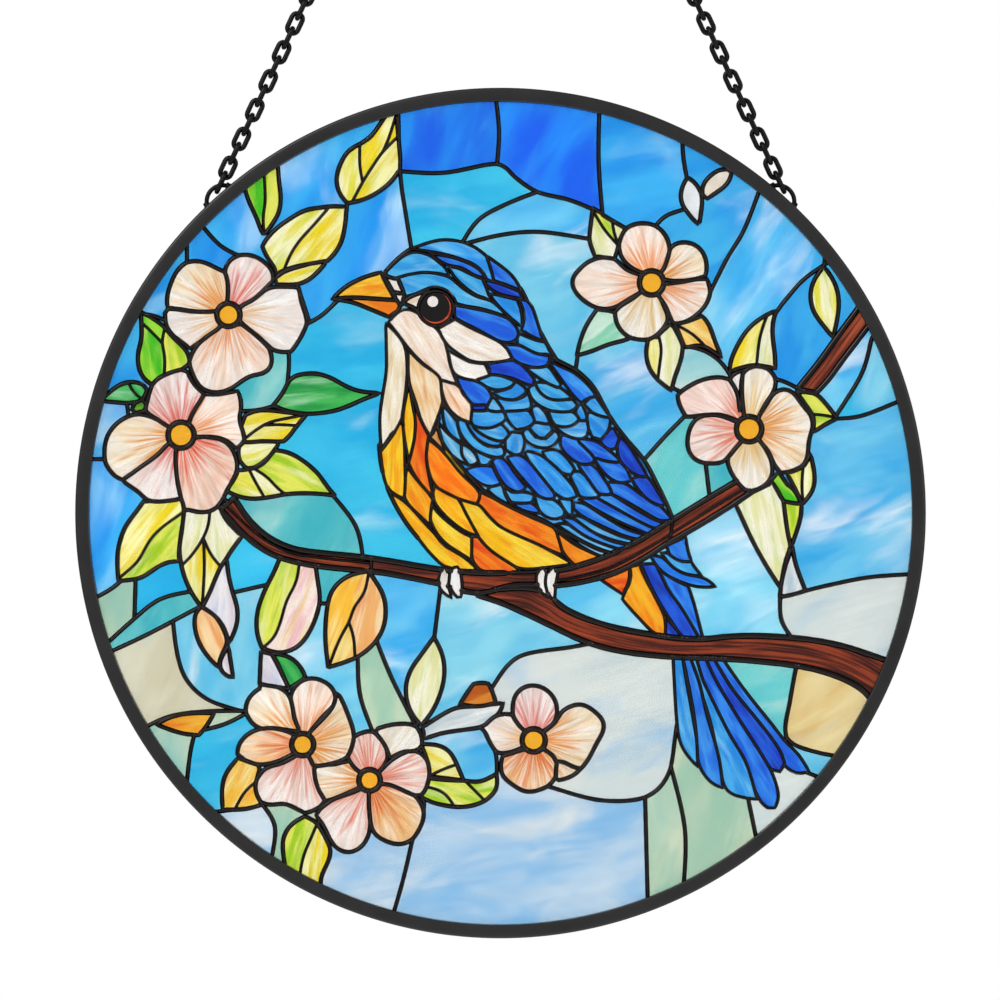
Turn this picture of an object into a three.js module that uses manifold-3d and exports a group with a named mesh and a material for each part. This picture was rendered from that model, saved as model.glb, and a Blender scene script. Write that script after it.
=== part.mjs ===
// A round hanging panel of coloured glass: a songbird on a blossoming branch under a blue sky. Pieces of
// glass sit in a network of solder seams, a channelled metal rim goes round them, and a chain runs from a
// wire loop on each shoulder of the rim up to one hanging ring.
// Millimetres. +X is to the viewer's right, +Z is up, and the face looks along -Y. The origin is where a
// hook bears on the inside of the hanging ring, on the panel's middle plane.
import * as THREE from "three";
import { mergeVertices } from "three/addons/utils/BufferGeometryUtils.js";
import Module from "manifold-3d";

const wasm = await Module();
wasm.setup();

// Driving dimensions
const PANEL_RADIUS = 150;
const PANEL_DROP = 336; // from the hook to the middle of the panel
const RIM_FACE = 4.8; // how much of the rim shows from the front
const RIM_DEPTH = 7;
const RIM_LIP = 1.7; // on each side of the groove
const GROOVE_DEPTH = 2.5;
const GLASS_THICKNESS = 3;
const SEAM_THICKNESS = 4.4; // solder stands a little proud of both faces of the glass
const SEAM_WIDTH = 1.2;
const CLEARANCE = 0.3; // between any two pieces that meet
const SMALLEST_PANE = 25; // square millimetres: solder fills any gap that is smaller
const LOOP_ANGLE = 48.3; // degrees from +X up to the right wire loop
const LOOP_CENTRE = 147.3; // from the middle of the panel
const LOOP_RADIUS = 5.7; // to the middle of its wire
const LOOP_WIRE = 1.6;
const LOOP_REACH = 52.5; // degrees that it runs down each side, to the rim
const RING_RADIUS = 8; // to the middle of the hanging ring's wire
const RING_WIRE = 2.2;
const LINKS = 41; // on each side, an odd number so that both ends stand across the panel
const LINK_WIRE = 1.5;
const LINK_WIDTH = 5.3;
const LINK_BITE = 0.1; // how far two links press into each other, where they touch
const PULL_ANGLE = 68; // degrees from +X to the place in the right loop where the chain pulls

const RIM_SIDES = 36;
const CUTTER_DEPTH = 12; // deeper than anything it cuts

const { degToRad, euclideanModulo, radToDeg } = THREE.MathUtils;
const polar = (degrees, radius, [x, z] = [0, 0]) => [
  x + radius * Math.cos(degToRad(degrees)),
  z + radius * Math.sin(degToRad(degrees)),
];
const circle = (radius, corners) =>
  Array.from({ length: corners }, (_, i) => polar((360 * i) / corners, radius));

// Flat outlines, as lists of [x, z] that run anticlockwise

// A leaf swells by `left` and `right` on each side of the line from its base to its tip.
function leaf(base, tip, left, right) {
  const spine = new THREE.Vector2(tip[0] - base[0], tip[1] - base[1]);
  const length = spine.length();
  const edge = (t, swell) => [
    base[0] + spine.x * t - (spine.y * swell) / length,
    base[1] + spine.y * t + (spine.x * swell) / length,
  ];
  const [low, high] = [0.25, 0.65];
  return [base, edge(low, -right), edge(high, -right), tip, edge(high, left), edge(low, left)];
}

// A blossom's petals are [heading in degrees, reach, half width], anticlockwise. Each has two shoulders and
// a blunt tip, and a notch parts it from the next.
function blossom(at, petals) {
  const [shoulder, crown] = [0.68, 0.97];
  const notchRadius = 7;
  const notchHalfAngle = 4;
  return petals.flatMap(([heading, reach, halfWidth], i) => {
    const after = euclideanModulo(petals[(i + 1) % petals.length][0] - heading, 360);
    const before = euclideanModulo(heading - petals.at(i - 1)[0], 360);
    const corner = (along, across) => {
      const room = (across > 0 ? after : before) / 2 - notchHalfAngle;
      const angle = Math.min(Math.atan2(Math.abs(across), along), degToRad(room));
      return polar(heading + Math.sign(across) * radToDeg(angle), Math.hypot(along, across), at);
    };
    return [
      corner(shoulder * reach, -halfWidth),
      corner(crown * reach, -0.4 * halfWidth),
      corner(crown * reach, 0.4 * halfWidth),
      corner(shoulder * reach, halfWidth),
      polar(heading + after / 2, notchRadius, at),
    ];
  });
}

// A branch follows stations of [x, z, half its width].
function branch(stations) {
  const side = (sign) => (station, i) => {
    const before = stations[Math.max(i - 1, 0)];
    const after = stations[Math.min(i + 1, stations.length - 1)];
    const heading = new THREE.Vector2(after[0] - before[0], after[1] - before[1]).normalize();
    return [station[0] - sign * heading.y * station[2], station[1] + sign * heading.x * station[2]];
  };
  return [...stations.map(side(-1)), ...stations.map(side(1)).toReversed()];
}

// A strip along an open line, `halfWidth` clear of it all round.
function strip(line, halfWidth) {
  const beyond = (end, next) => {
    const reach = halfWidth / Math.hypot(end[0] - next[0], end[1] - next[1]);
    return [end[0] + (end[0] - next[0]) * reach, end[1] + (end[1] - next[1]) * reach];
  };
  const longer = [beyond(line[0], line[1]), ...line.slice(1, -1), beyond(line.at(-1), line.at(-2))];
  return branch(longer.map(([x, z]) => [x, z, halfWidth]));
}

// Moves every edge of an outline out by `distance`, or in if it is below zero.
function grow(outline, distance) {
  const bluntest = 0.5; // keeps a sharp tip from shooting out
  const heading = (from, to) => new THREE.Vector2(to[0] - from[0], to[1] - from[1]).normalize();
  return outline.map((corner, i) => {
    const before = heading(outline.at(i - 1), corner);
    const after = heading(corner, outline[(i + 1) % outline.length]);
    const out = new THREE.Vector2(before.y + after.y, -before.x - after.x).normalize();
    const reach = distance / Math.max(out.x * after.y - out.y * after.x, bluntest);
    return [corner[0] + out.x * reach, corner[1] + out.y * reach];
  });
}

// Solids

function solid(geometry) {
  geometry.deleteAttribute("normal");
  geometry.deleteAttribute("uv");
  const merged = mergeVertices(geometry, 1e-4);
  return new wasm.Manifold(
    new wasm.Mesh({
      numProp: 3,
      vertProperties: new Float32Array(merged.attributes.position.array),
      triVerts: new Uint32Array(merged.index.array),
    }),
  );
}

const join = (bodies) => bodies.reduce((all, body) => all.add(body));

function mesh(name, body, material) {
  const { vertProperties, triVerts } = body.getMesh();
  const shared = new THREE.BufferGeometry();
  shared.setAttribute("position", new THREE.BufferAttribute(vertProperties, 3));
  shared.setIndex(new THREE.BufferAttribute(triVerts, 1));
  const faceted = shared.toNonIndexed();
  faceted.computeVertexNormals();
  const made = new THREE.Mesh(faceted, material);
  made.name = name;
  return made;
}

// An outline given a depth, with the panel's middle plane halfway through it.
function slab(outline, depth = CUTTER_DEPTH) {
  const shape = new THREE.Shape(outline.map(([x, z]) => new THREE.Vector2(x, z)));
  const made = new THREE.ExtrudeGeometry(shape, { depth, bevelEnabled: false });
  return solid(made.translate(0, 0, -depth / 2).rotateX(Math.PI / 2));
}

// The picture. Places are millimetres from the middle of the panel.

const BLOSSOMS = {
  blossom_upper_left: blossom(
    [-96, 69.5],
    [[3, 27, 11], [68, 23, 9.5], [133, 25, 11], [197, 22, 9.5], [275, 26, 13]],
  ),
  blossom_left: blossom(
    [-113, 27.5],
    [[32, 22, 9], [95, 23, 10], [187, 26, 12], [247, 24, 9.5], [310, 26, 12]],
  ),
  blossom_upper_right: blossom(
    [53, 81.5],
    [[35, 20, 7.5], [98, 21, 9.5], [178, 27, 9], [260, 21, 9.5], [332, 21, 9]],
  ),
  blossom_right: blossom(
    [87.5, 29.5],
    [[8, 23, 13.5], [84, 22, 7], [146, 25, 8], [187, 21.5, 9], [272, 21, 8.5]],
  ),
  blossom_lower_left: blossom(
    [-70, -82.3],
    [[18, 20, 11], [83, 23, 8], [135, 22, 8], [180, 22.5, 7.5], [263, 22, 11]],
  ),
  blossom_bottom: blossom(
    [-46, -94.3],
    [[22, 21.5, 7.5], [97, 17, 7], [180, 18.5, 7.5], [243, 25.5, 9.5], [308, 25, 9.5]],
  ),
  blossom_lower_middle: blossom(
    [12.2, -80],
    [[14, 24.5, 9.5], [92, 19.5, 8], [168, 18.5, 8], [264, 18.5, 9]],
  ),
};

const BRANCHES = {
  branch_main: branch([
    [-98, 4, 2], [-84, -10.5, 2.4], [-48, -18.3, 2.6], [0, -23.7, 3], [42, -15.5, 2.6], [84, 11.5, 3],
  ]),
  branch_tip: branch([[105, 40, 2.2], [117.5, 57, 2.1], [133, 78, 2.1]]),
  branch_lower: branch([
    [-10, -24.5, 1.6], [12, -31.5, 2.4], [58, -46.8, 3.4], [108, -48.6, 4], [152, -68, 7.5],
  ]),
};

const BIRD = {
  bird_beak: [[-59, 75.5], [-41, 69.4], [-36, 75], [-41.5, 84.6]],
  bird_face: [
    [-41.5, 22], [-31.5, 43], [-24.8, 27], [-20, 38], [-10.5, 33], [-14, 46], [-4.5, 49], [3.6, 55],
    [-16, 69], [-37, 73], [-41, 58], [-43, 33],
  ],
  bird_head: [
    [-36, 72], [-20, 58], [14, 45], [19, 54.5], [9, 75], [1, 86.5], [-10, 93.6], [-21, 95], [-31, 93],
    [-42, 84.6],
  ],
  bird_wing: [
    [-21, 30], [-15, 17.5], [10, -0.5], [41, -15], [61, -3.5], [36, 38], [27, 50], [17, 57], [-17, 44],
  ],
  bird_breast: [[-42.5, 20], [-31, -7], [-19, -20], [0, -24], [26, -21], [42, -14], [-30, 62], [-41.5, 62]],
  bird_undertail: [[36, -25], [54, -45], [73, -46], [75.5, -26], [65, -8], [49, -18]],
  bird_tail: [
    [59, -46], [63, -83], [69.5, -89], [78.5, -97], [97, -104], [98, -91], [108, -91], [88, -65], [79, -46],
  ],
};

const FEET = {
  bird_foot_left: [[-22.5, -22.4], [-21.5, -28], [-15.5, -32], [-12.5, -23.2]],
  bird_foot_right: [[11.5, -21.8], [13, -28.5], [19.5, -32.5], [21.5, -20.6]],
};

const LEAVES = {
  leaf_top: leaf([-53.5, 107], [-37, 143], 8.4, 8.4),
  leaf_above_left: leaf([-80.5, 82], [-53.5, 108.5], 8.8, 9.2),
  leaf_rim_top: leaf([-85, 89], [-83, 126], 5.5, 5.5),
  leaf_far_left: leaf([-121.5, 46], [-125.5, 70], 4, 10.6),
  leaf_green: leaf([-79.5, 38], [-42.5, 41.5], 7.9, 3.5),
  leaf_yellow: leaf([-93, 27], [-69, 33], 6.2, 5.3),
  leaf_lime: leaf([-97, 9], [-57.5, 6.5], 11, 2.6),
  leaf_low_left: leaf([-110, 7], [-135, -24], 7.9, 8.4),
  leaf_slender: leaf([-106, 7], [-105.5, -33], 6.2, 8.8),
  leaf_pink: leaf([-73, -15], [-84, -48.5], 10.6, 6.6),
  leaf_orange: leaf([-45.5, -20], [-60.5, -54.5], 10.6, 7),
  leaf_pale: leaf([-29, -75], [-23.5, -45.5], 5.7, 5.7),
  leaf_yellow_low: leaf([-82, -86], [-97, -104], 5.7, 5.7),
  leaf_bottom: leaf([-67, -104], [-66, -138], 7.5, 7.5),
  leaf_beside_bud: leaf([-29, -94], [-0.5, -93.5], 2.6, 7),
  leaf_teal: leaf([45, 67], [27, 56], 5.3, 5.3),
  leaf_cream: leaf([62, 68], [60, 43.5], 6.6, 7),
  leaf_upright: leaf([88, 46], [96.5, 71.5], 7.9, 5.7),
  leaf_rim_right: leaf([118, 62], [114, 86.5], 4.4, 4.4),
  leaf_hanging: leaf([93, 12], [98, -28], 7.5, 7.9),
};

// Seams across the sky, each a line of points
const SKY_SEAMS = [
  [[-104.2, 100.7], [-93, 89]],
  [[-36, 150], [-31, 92]],
  [[-35.4, 120.6], [-1.5, 122.5], [36.5, 105.5], [44, 96]],
  [[-2.5, 152], [-1.5, 122.5]],
  [[16, 114], [-7, 99]],
  [[-10, 93], [40, 92]],
  [[92.5, 112], [68, 74]],
  [[111.2, 92.9], [95, 68]],
  [[66.5, 136], [54, 95]],
  [[-141.5, -31.5], [-134, -23]],
  [[-59, 7], [-49, -19]],
  [[46, 16.5], [63.5, 31]],
  [[-70, 66], [-57, 75.4]],
  [[139.3, 39.8], [105, 33]],
  [[98, -26], [97.5, -50]],
  [[99, -29], [143, -23.5]],
  [[103, -55.5], [100.5, -80], [128, -90]],
  [[62.8, -82], [42, -102.4], [15, -92]],
  [[45, -100.6], [51.8, -135.3]],
  [[3, -68], [6, -50], [34, -42]],
  [[-34, -112], [-38.8, -139.6]],
  [[-22, -22], [-24, -49]],
  [[-50, -48], [-46.5, -79]],
  [[-84, -46], [-82, -60]],
  [[-105.5, -31], [-146, -60]],
  [[-120, -75.5], [-86, -72]],
];

// Each piece hides what comes after it.
const PIECES = { ...FEET, ...BLOSSOMS, ...BRANCHES, ...BIRD, ...LEAVES };

// Cuts a disc along the picture's lines, keeping `gap` clear of each, into lists of bodies by name.
function cut(radius, depth, gap) {
  const disc = slab(circle(radius, RIM_SIDES), depth);
  const bodies = {};
  let uncovered = disc;
  for (const [name, outline] of Object.entries(PIECES)) {
    bodies[name] = slab(grow(outline, -gap)).intersect(uncovered).decompose();
    uncovered = uncovered.subtract(slab(grow(outline, gap)));
  }
  const lines = join(SKY_SEAMS.map((line) => slab(strip(line, gap))));
  bodies.sky = uncovered.subtract(lines).decompose();
  return bodies;
}

const glassEdge = PANEL_RADIUS - RIM_FACE + GROOVE_DEPTH - CLEARANCE;
const glass = cut(glassEdge, GLASS_THICKNESS, SEAM_WIDTH / 2 + CLEARANCE);
const pockets = cut(PANEL_RADIUS, CUTTER_DEPTH, SEAM_WIDTH / 2);
for (const name of Object.keys(glass)) {
  glass[name] = glass[name].filter((pane) => pane.volume() > SMALLEST_PANE * GLASS_THICKNESS);
  const isGlazed = (pocket) => glass[name].some((pane) => !pane.intersect(pocket).isEmpty());
  pockets[name] = pockets[name].filter(isGlazed);
}

const panel = new THREE.Group();
panel.position.z = -PANEL_DROP;

// Glass

const COLOURS = {
  sky: "#3fa9e6",
  blossom: "#f3e3d6",
  branch: "#7a2e16",
  bird: "#1f6fd8",
  bird_beak: "#f2b01e",
  bird_face: "#f3e9dc",
  bird_breast: "#f39a14",
  bird_foot: "#efe9e2",
  leaf: "#c9cf34",
};

function glassMaterial(name) {
  const kinds = Object.keys(COLOURS).filter((kind) => name.startsWith(kind));
  return new THREE.MeshStandardMaterial({ color: COLOURS[kinds.at(-1)], roughness: 0.25, metalness: 0 });
}

// Sky panes are numbered clockwise from the top.
const clock = (body) => {
  const { min, max } = body.boundingBox();
  return euclideanModulo(Math.atan2(min[0] + max[0], min[2] + max[2]), 2 * Math.PI);
};
glass.sky.sort((a, b) => clock(a) - clock(b));
for (const [name, panes] of Object.entries(glass)) {
  panes.forEach((pane, i) => {
    const number = String(i + 1).padStart(2, "0");
    panel.add(mesh(panes.length > 1 ? `${name}_${number}` : name, pane, glassMaterial(name)));
  });
}

// Solder seams

const solder = new THREE.MeshStandardMaterial({ color: "#1a1718", roughness: 0.4, metalness: 0.8 });
const seamDisc = slab(circle(PANEL_RADIUS - RIM_FACE - CLEARANCE, RIM_SIDES), SEAM_THICKNESS);
const seams = Object.values(pockets).flat().reduce((metal, pocket) => metal.subtract(pocket), seamDisc);
panel.add(mesh("solder_seams", seams, solder));

// Rim: a channel whose groove takes the edge of the glass

const rimPaint = new THREE.MeshStandardMaterial({ color: "#2b2b2b", roughness: 0.55, metalness: 0.6 });
const rimInside = PANEL_RADIUS - RIM_FACE;
const grooveFloor = rimInside + GROOVE_DEPTH;
const grooveHalf = RIM_DEPTH / 2 - RIM_LIP;
const rimHalf = RIM_DEPTH / 2;
const rimProfile = [
  [PANEL_RADIUS, -rimHalf],
  [PANEL_RADIUS, rimHalf],
  [rimInside, rimHalf],
  [rimInside, grooveHalf],
  [grooveFloor, grooveHalf],
  [grooveFloor, -grooveHalf],
  [rimInside, -grooveHalf],
  [rimInside, -rimHalf],
  [PANEL_RADIUS, -rimHalf],
].map(([radius, y]) => new THREE.Vector2(radius, y));
panel.add(mesh("rim", solid(new THREE.LatheGeometry(rimProfile, RIM_SIDES)), rimPaint));

// Wire loops, one on each shoulder of the rim

const iron = new THREE.MeshStandardMaterial({ color: "#161616", roughness: 0.5, metalness: 0.8 });
const SIDES = { left: -1, right: 1 };
const loopCentre = polar(LOOP_ANGLE, LOOP_CENTRE);

for (const [name, side] of Object.entries(SIDES)) {
  const stations = 7;
  const arc = Array.from({ length: stations }, (_, i) => {
    const turn = LOOP_ANGLE - LOOP_REACH + (2 * LOOP_REACH * i) / (stations - 1);
    const [x, z] = polar(turn, LOOP_RADIUS, loopCentre);
    return new THREE.Vector3(side * x, 0, z);
  });
  const section = new THREE.Shape(circle(LOOP_WIRE / 2, 5).map(([x, z]) => new THREE.Vector2(x, z)));
  const extrudePath = new THREE.CatmullRomCurve3(arc);
  const wire = new THREE.ExtrudeGeometry(section, { extrudePath, steps: stations - 1 });
  panel.add(mesh(`hanger_loop_${name}`, solid(wire), iron));
}

// Hanging ring

const part = new THREE.Group();
part.add(panel);
const ringCentre = new THREE.Vector3(0, 0, RING_WIRE / 2 - RING_RADIUS);
const ring = new THREE.TorusGeometry(RING_RADIUS, RING_WIRE / 2, 6, 10).rotateX(Math.PI / 2);
part.add(mesh("hanging_ring", solid(ring.translate(...ringCentre)), iron));

// Chains. Each link lies across the next, and the lowest stands across its loop.

// A link with its wire's ridge inward, in the XZ plane
function link(innerLength) {
  const inside = LINK_WIDTH / 2 - LINK_WIRE;
  const outside = LINK_WIDTH / 2;
  const section = [[inside, 0], [outside, -LINK_WIRE / 2], [outside, LINK_WIRE / 2], [inside, 0]];
  const profile = section.map(([x, y]) => new THREE.Vector2(x * Math.SQRT2, y)); // out to a square's corners
  const made = new THREE.LatheGeometry(profile, 4).rotateY(Math.PI / 4);
  const stretch = innerLength / 2 - inside;
  const { position } = made.attributes;
  for (let i = 0; i < position.count; i += 1) {
    position.setZ(i, position.getZ(i) + Math.sign(position.getZ(i)) * stretch);
  }
  return made;
}

for (const [name, side] of Object.entries(SIDES)) {
  const [x, z] = polar(PULL_ANGLE, LOOP_RADIUS - LOOP_WIRE / 2 - CLEARANCE, loopCentre);
  const foot = new THREE.Vector3(side * x, 0, z - PANEL_DROP);
  const along = ringCentre.clone().sub(foot).normalize();
  const head = ringCentre.clone().addScaledVector(along, CLEARANCE + RING_WIRE / 2 - RING_RADIUS);
  const pitch = (foot.distanceTo(head) + LINK_BITE) / LINKS;
  const lean = Math.atan2(along.x, along.z);
  const links = Array.from({ length: LINKS }, (_, i) => {
    const made = link(pitch - LINK_BITE).rotateZ(((i + 1) * Math.PI) / 2).rotateY(lean);
    return solid(made.translate(...foot.clone().addScaledVector(along, pitch * (i + 0.5) - LINK_BITE / 2)));
  });
  part.add(mesh(`chain_${name}`, join(links), iron));
}

export default part;
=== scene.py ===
import math

import bmesh
import bpy
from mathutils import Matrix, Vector, noise
from mathutils.bvhtree import BVHTree
from mathutils.geometry import delaunay_2d_cdt


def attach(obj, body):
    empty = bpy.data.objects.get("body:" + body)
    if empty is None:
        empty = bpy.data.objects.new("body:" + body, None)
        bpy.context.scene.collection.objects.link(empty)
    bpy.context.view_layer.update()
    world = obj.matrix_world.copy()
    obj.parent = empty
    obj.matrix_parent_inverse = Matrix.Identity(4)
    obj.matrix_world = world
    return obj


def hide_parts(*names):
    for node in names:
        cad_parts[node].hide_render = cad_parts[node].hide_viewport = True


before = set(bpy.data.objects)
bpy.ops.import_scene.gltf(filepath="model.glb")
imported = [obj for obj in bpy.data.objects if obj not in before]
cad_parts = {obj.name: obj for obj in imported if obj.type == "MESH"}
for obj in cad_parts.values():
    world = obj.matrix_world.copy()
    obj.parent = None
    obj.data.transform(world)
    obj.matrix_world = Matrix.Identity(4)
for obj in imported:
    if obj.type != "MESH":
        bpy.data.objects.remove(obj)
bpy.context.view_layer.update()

# The cartoon: the full-size drawing that a glazier lays on the bench and cuts every pane to, in
# millimetres from the middle of the panel. Each outline hides what is drawn after it, as the nearer of
# two petals does, and whatever no outline covers is sky.

DRAWING_STEP = 1.6  # between two places on a curve
FIGURE_SEAM = 0.54  # half the width of the solder round a petal or a leaf, and so on
SKY_SEAM = 0.5
FEATHER_SEAM = 0.33
EYE_SEAM = 0.42
HEART_SEAM = 0.75
VEIN_SEAM = 0.28
BARK_SEAM = 0.85
GRAIN_SEAM = 0.25
KNOT_SEAM = 0.4
NO_SEAM = 0.0  # two colours in one piece of glass
OVERRUN = 2.5  # how far a line runs past its ends, to be sure to reach the next line
SKY_OVERRUN = 5.0
BARK_OVERRUN = 9.0
BLUNT = None


def curve(points, closed=False):
    """A smooth line through the points."""
    points = [Vector(point) for point in points]
    last = len(points) - 1
    line = []
    for i in range(last + 1 if closed else last):
        ends = [(i + k) % (last + 1) if closed else min(max(i + k, 0), last) for k in (-1, 0, 1, 2)]
        a, b, c, d = (points[k] for k in ends)
        steps = max(1, round((c - b).length / DRAWING_STEP))
        for t in (s / steps for s in range(steps)):
            line.append(0.5 * (2 * b + (c - a) * t + (2 * a - 5 * b + 4 * c - d) * t ** 2
                               + (3 * b - a - 3 * c + d) * t ** 3))
    return line if closed else line + [points[-1]]


def outline(runs):
    """One smooth closed line, or several smooth runs that meet in corners. Each run goes on from the last
    place of the one before it, and the last goes back to the first place of all. At `BLUNT` the line steps
    straight from one run to the next."""
    if len(runs) == 1:
        return curve(runs[0], closed=True)
    line = []
    for number, run in enumerate(runs):
        if run is BLUNT:
            continue
        before, after = runs[number - 1], runs[(number + 1) % len(runs)]
        start = [] if number == 0 or before is BLUNT else before[-1:]
        back = runs[0][:1] if number == len(runs) - 1 else []
        smooth = curve(start + run + back)
        line += smooth if after is BLUNT else smooth[:-1]
    return line


drawn = []
lines = []
chosen = []


def draw(piece, sheet, *runs, seam=FIGURE_SEAM, ray=None, spine=None):
    """An outline of one pane, or of panes that lines part again. `ray` and `spine` steer the grain."""
    drawn.append({"piece": piece, "sheet": sheet, "line": outline(runs), "seam": seam, "ray": ray,
                  "spine": spine})


def part(piece, *runs, seam=VEIN_SEAM, overrun=None):
    """Lines that part the panes of one piece, each of them run on past its ends."""
    if overrun is None:
        overrun = SKY_OVERRUN if piece == "sky" else OVERRUN
    for run in runs:
        line = curve(run)
        first = line[0] + overrun * (line[0] - line[1]).normalized()
        last = line[-1] + overrun * (line[-1] - line[-2]).normalized()
        lines.append({"piece": piece, "line": [first] + line + [last], "seam": seam})


def choose(sheet, *places, grain=None):
    """The panes at these places are cut from this sheet, with its grain at this angle."""
    chosen.extend((Vector(place), sheet, grain) for place in places)


def ring(centre, radius, corners=28):
    """A closed line of places round a centre."""
    return [(centre[0] + radius * math.cos(math.tau * i / corners),
             centre[1] + radius * math.sin(math.tau * i / corners)) for i in range(corners)]


# Feet: two pale toes of each foot curl over the branch
FEET = (
    ("bird_foot_left", [(-21.8, -21.5), (-19.8, -19.2), (-18, -22), (-18.4, -26), (-17.2, -30),
     (-20.2, -28.4), (-21.9, -25)]),
    ("bird_foot_left", [(-17.8, -20.6), (-15.2, -19), (-13.6, -23.5), (-14, -29.6), (-16.6, -28.6),
     (-18.1, -24.5)]),
    ("bird_foot_right", [(12.7, -21.6), (14.8, -19.2), (16.4, -20.6), (15.6, -24), (16.8, -29.8),
     (14, -27.6), (12.5, -24)]),
    ("bird_foot_right", [(16.8, -20.6), (18.6, -19.2), (20.2, -21), (19.4, -25.5), (19, -31), (16.7, -28),
     (16.1, -24.5)]),
)
for foot, toe in FEET:
    draw(foot, "white", toe, seam=FEATHER_SEAM)


def flower(piece, heart, radius, *petals):
    """An amber centre over its petals, each a sheet and an outline. Their grain runs out from the centre."""
    draw(piece, "amber_heart", ring(heart, radius), ray=heart, seam=HEART_SEAM)
    for sheet, petal in petals:
        draw(piece, sheet, petal, ray=heart)


flower("blossom_upper_left", (-96, 69.9), 4.2,
    ("petal_gold", [(-98, 72), (-101, 71.1), (-107.9, 71.1), (-113.2, 72), (-117.4, 72.6), (-117.6, 76.6),
     (-116.3, 81.1), (-114.2, 85.4), (-111, 88.3), (-106.3, 89), (-102.6, 87.7), (-99.4, 85.9),
     (-97.3, 85.1), (-96.2, 81.9), (-96.2, 78.2), (-96.4, 74.5)]),
    ("petal_blush", [(-97.3, 86.2), (-95.2, 89.6), (-90.9, 91.2), (-86.7, 90.6), (-83, 88.3), (-80.3, 85.1),
     (-80.3, 81.9), (-83, 79.3), (-85.6, 76.6), (-89.3, 74), (-93, 73.2), (-96, 74.5), (-96.2, 80)]),
    ("petal_white", [(-81.9, 79.5), (-76.1, 79.8), (-71.3, 79.5), (-70.8, 76.1), (-69.2, 71.3),
     (-68.2, 67.6), (-69.7, 63.4), (-71.9, 59.7), (-74, 57), (-79.3, 57), (-81.9, 59.1), (-86.1, 62.8),
     (-90.9, 66.6), (-93, 70), (-91.2, 73.3), (-86.1, 76.1)]),
    ("petal_peach", [(-95, 66), (-99.4, 64.9), (-104.2, 61.8), (-107.9, 58.1), (-109.8, 53.3),
     (-108.4, 48.5), (-105.3, 43.8), (-100, 42.4), (-95.2, 43.8), (-91.5, 46.4), (-88.3, 48.5),
     (-84.1, 49.1), (-80.9, 51.7), (-80.9, 56.5), (-83.5, 60.2), (-87.2, 63.4), (-91.5, 66.6)]),
    ("petal_white", [(-98, 71), (-107.9, 71), (-117.4, 71.9), (-118, 66.6), (-115.8, 62.8), (-112.1, 60.2),
     (-109.5, 58.1), (-106.3, 60.2), (-102.6, 62.8), (-99, 65.5)]))
flower("blossom_left", (-112.7, 27.5), 4.7,
    ("petal_blush", [(-125, 35.8), (-124.5, 40), (-122.8, 45.5), (-120.5, 47.7), (-116.5, 49.5),
     (-112.5, 50.6), (-110.5, 49.8), (-109, 46.5), (-106.5, 43.5), (-104.5, 42), (-107, 38), (-109.3, 34),
     (-110.3, 31), (-114, 30), (-117.3, 30.5), (-121, 33)]),
    ("petal_peach", [(-104.5, 42), (-101, 41.6), (-96, 42.5), (-92.7, 43), (-91.6, 40), (-91.5, 36.5),
     (-92.3, 33.5), (-91.5, 30.5), (-90.3, 27), (-91, 24.5), (-93.5, 23), (-95, 24.5), (-98, 26.3),
     (-103, 27), (-109, 27), (-109.7, 32), (-107.5, 37)]),
    ("petal_flame", [(-109, 26.5), (-103, 26.8), (-98, 25.8), (-94.8, 22.9), (-93, 18.5), (-92.8, 15),
     (-94.5, 11.5), (-96.5, 8), (-98.5, 4), (-101.5, 1), (-106, 0.2), (-110.5, 1.5), (-112.3, 4),
     (-113.6, 9), (-114.4, 15), (-114.3, 23)]),
    ("petal_blush", [(-114.2, 24), (-114.4, 12), (-113.2, 5.6), (-117.5, 4.3), (-122, 4), (-125.5, 5),
     (-127, 7), (-130, 9), (-133, 11.8), (-128, 15), (-122, 19.5), (-116.5, 25)]),
    ("petal_gold", [(-117, 30), (-121, 33), (-126, 34.8), (-130, 34.6), (-135, 32), (-138.6, 27.5),
     (-139.8, 22), (-139.2, 17), (-137, 14), (-133.5, 11.8), (-128, 15.5), (-121, 20.5), (-115.5, 25.5)]))
flower("blossom_upper_right", (53.3, 81.2), 4.4,
    ("petal_peach", [(50.5, 84.5), (45.5, 87), (42.5, 90.5), (41.8, 95), (43.5, 99.5), (46.8, 101.8),
     (51, 102.3), (55, 101.2), (58.5, 97.8), (59.7, 93), (58.5, 88.5), (56.3, 84.5)]),
    ("petal_gold", [(57, 84), (58.8, 89.5), (60.2, 94), (64, 95.6), (68.5, 94.8), (71.8, 91.5), (72.8, 87),
     (72.3, 83.8), (68.5, 82.5), (63, 81.8), (57, 82.5)]),
    ("petal_peach", [(56, 80.5), (63, 81.3), (69, 82.5), (72.8, 82.5), (74, 79), (73.3, 75), (70.8, 71.3),
     (66.5, 68), (61.8, 66.8), (60, 68.5), (58.3, 73), (55, 78)]),
    ("petal_cream", [(51, 79), (46.5, 75.5), (41.5, 72.5), (40.3, 69.5), (42, 64.8), (45, 62.2), (50, 61),
     (54, 62), (57.8, 65.5), (59.3, 68.5), (57.7, 73), (54.5, 79)]),
    ("petal_peach", [(51, 83), (44, 86), (41, 89.3), (36, 90.2), (31.5, 89), (27.8, 86), (25.3, 82.5),
     (26, 78.5), (29.5, 74.8), (34, 72.3), (39, 72), (43, 74), (47, 76.5), (51, 79)]))
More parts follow.
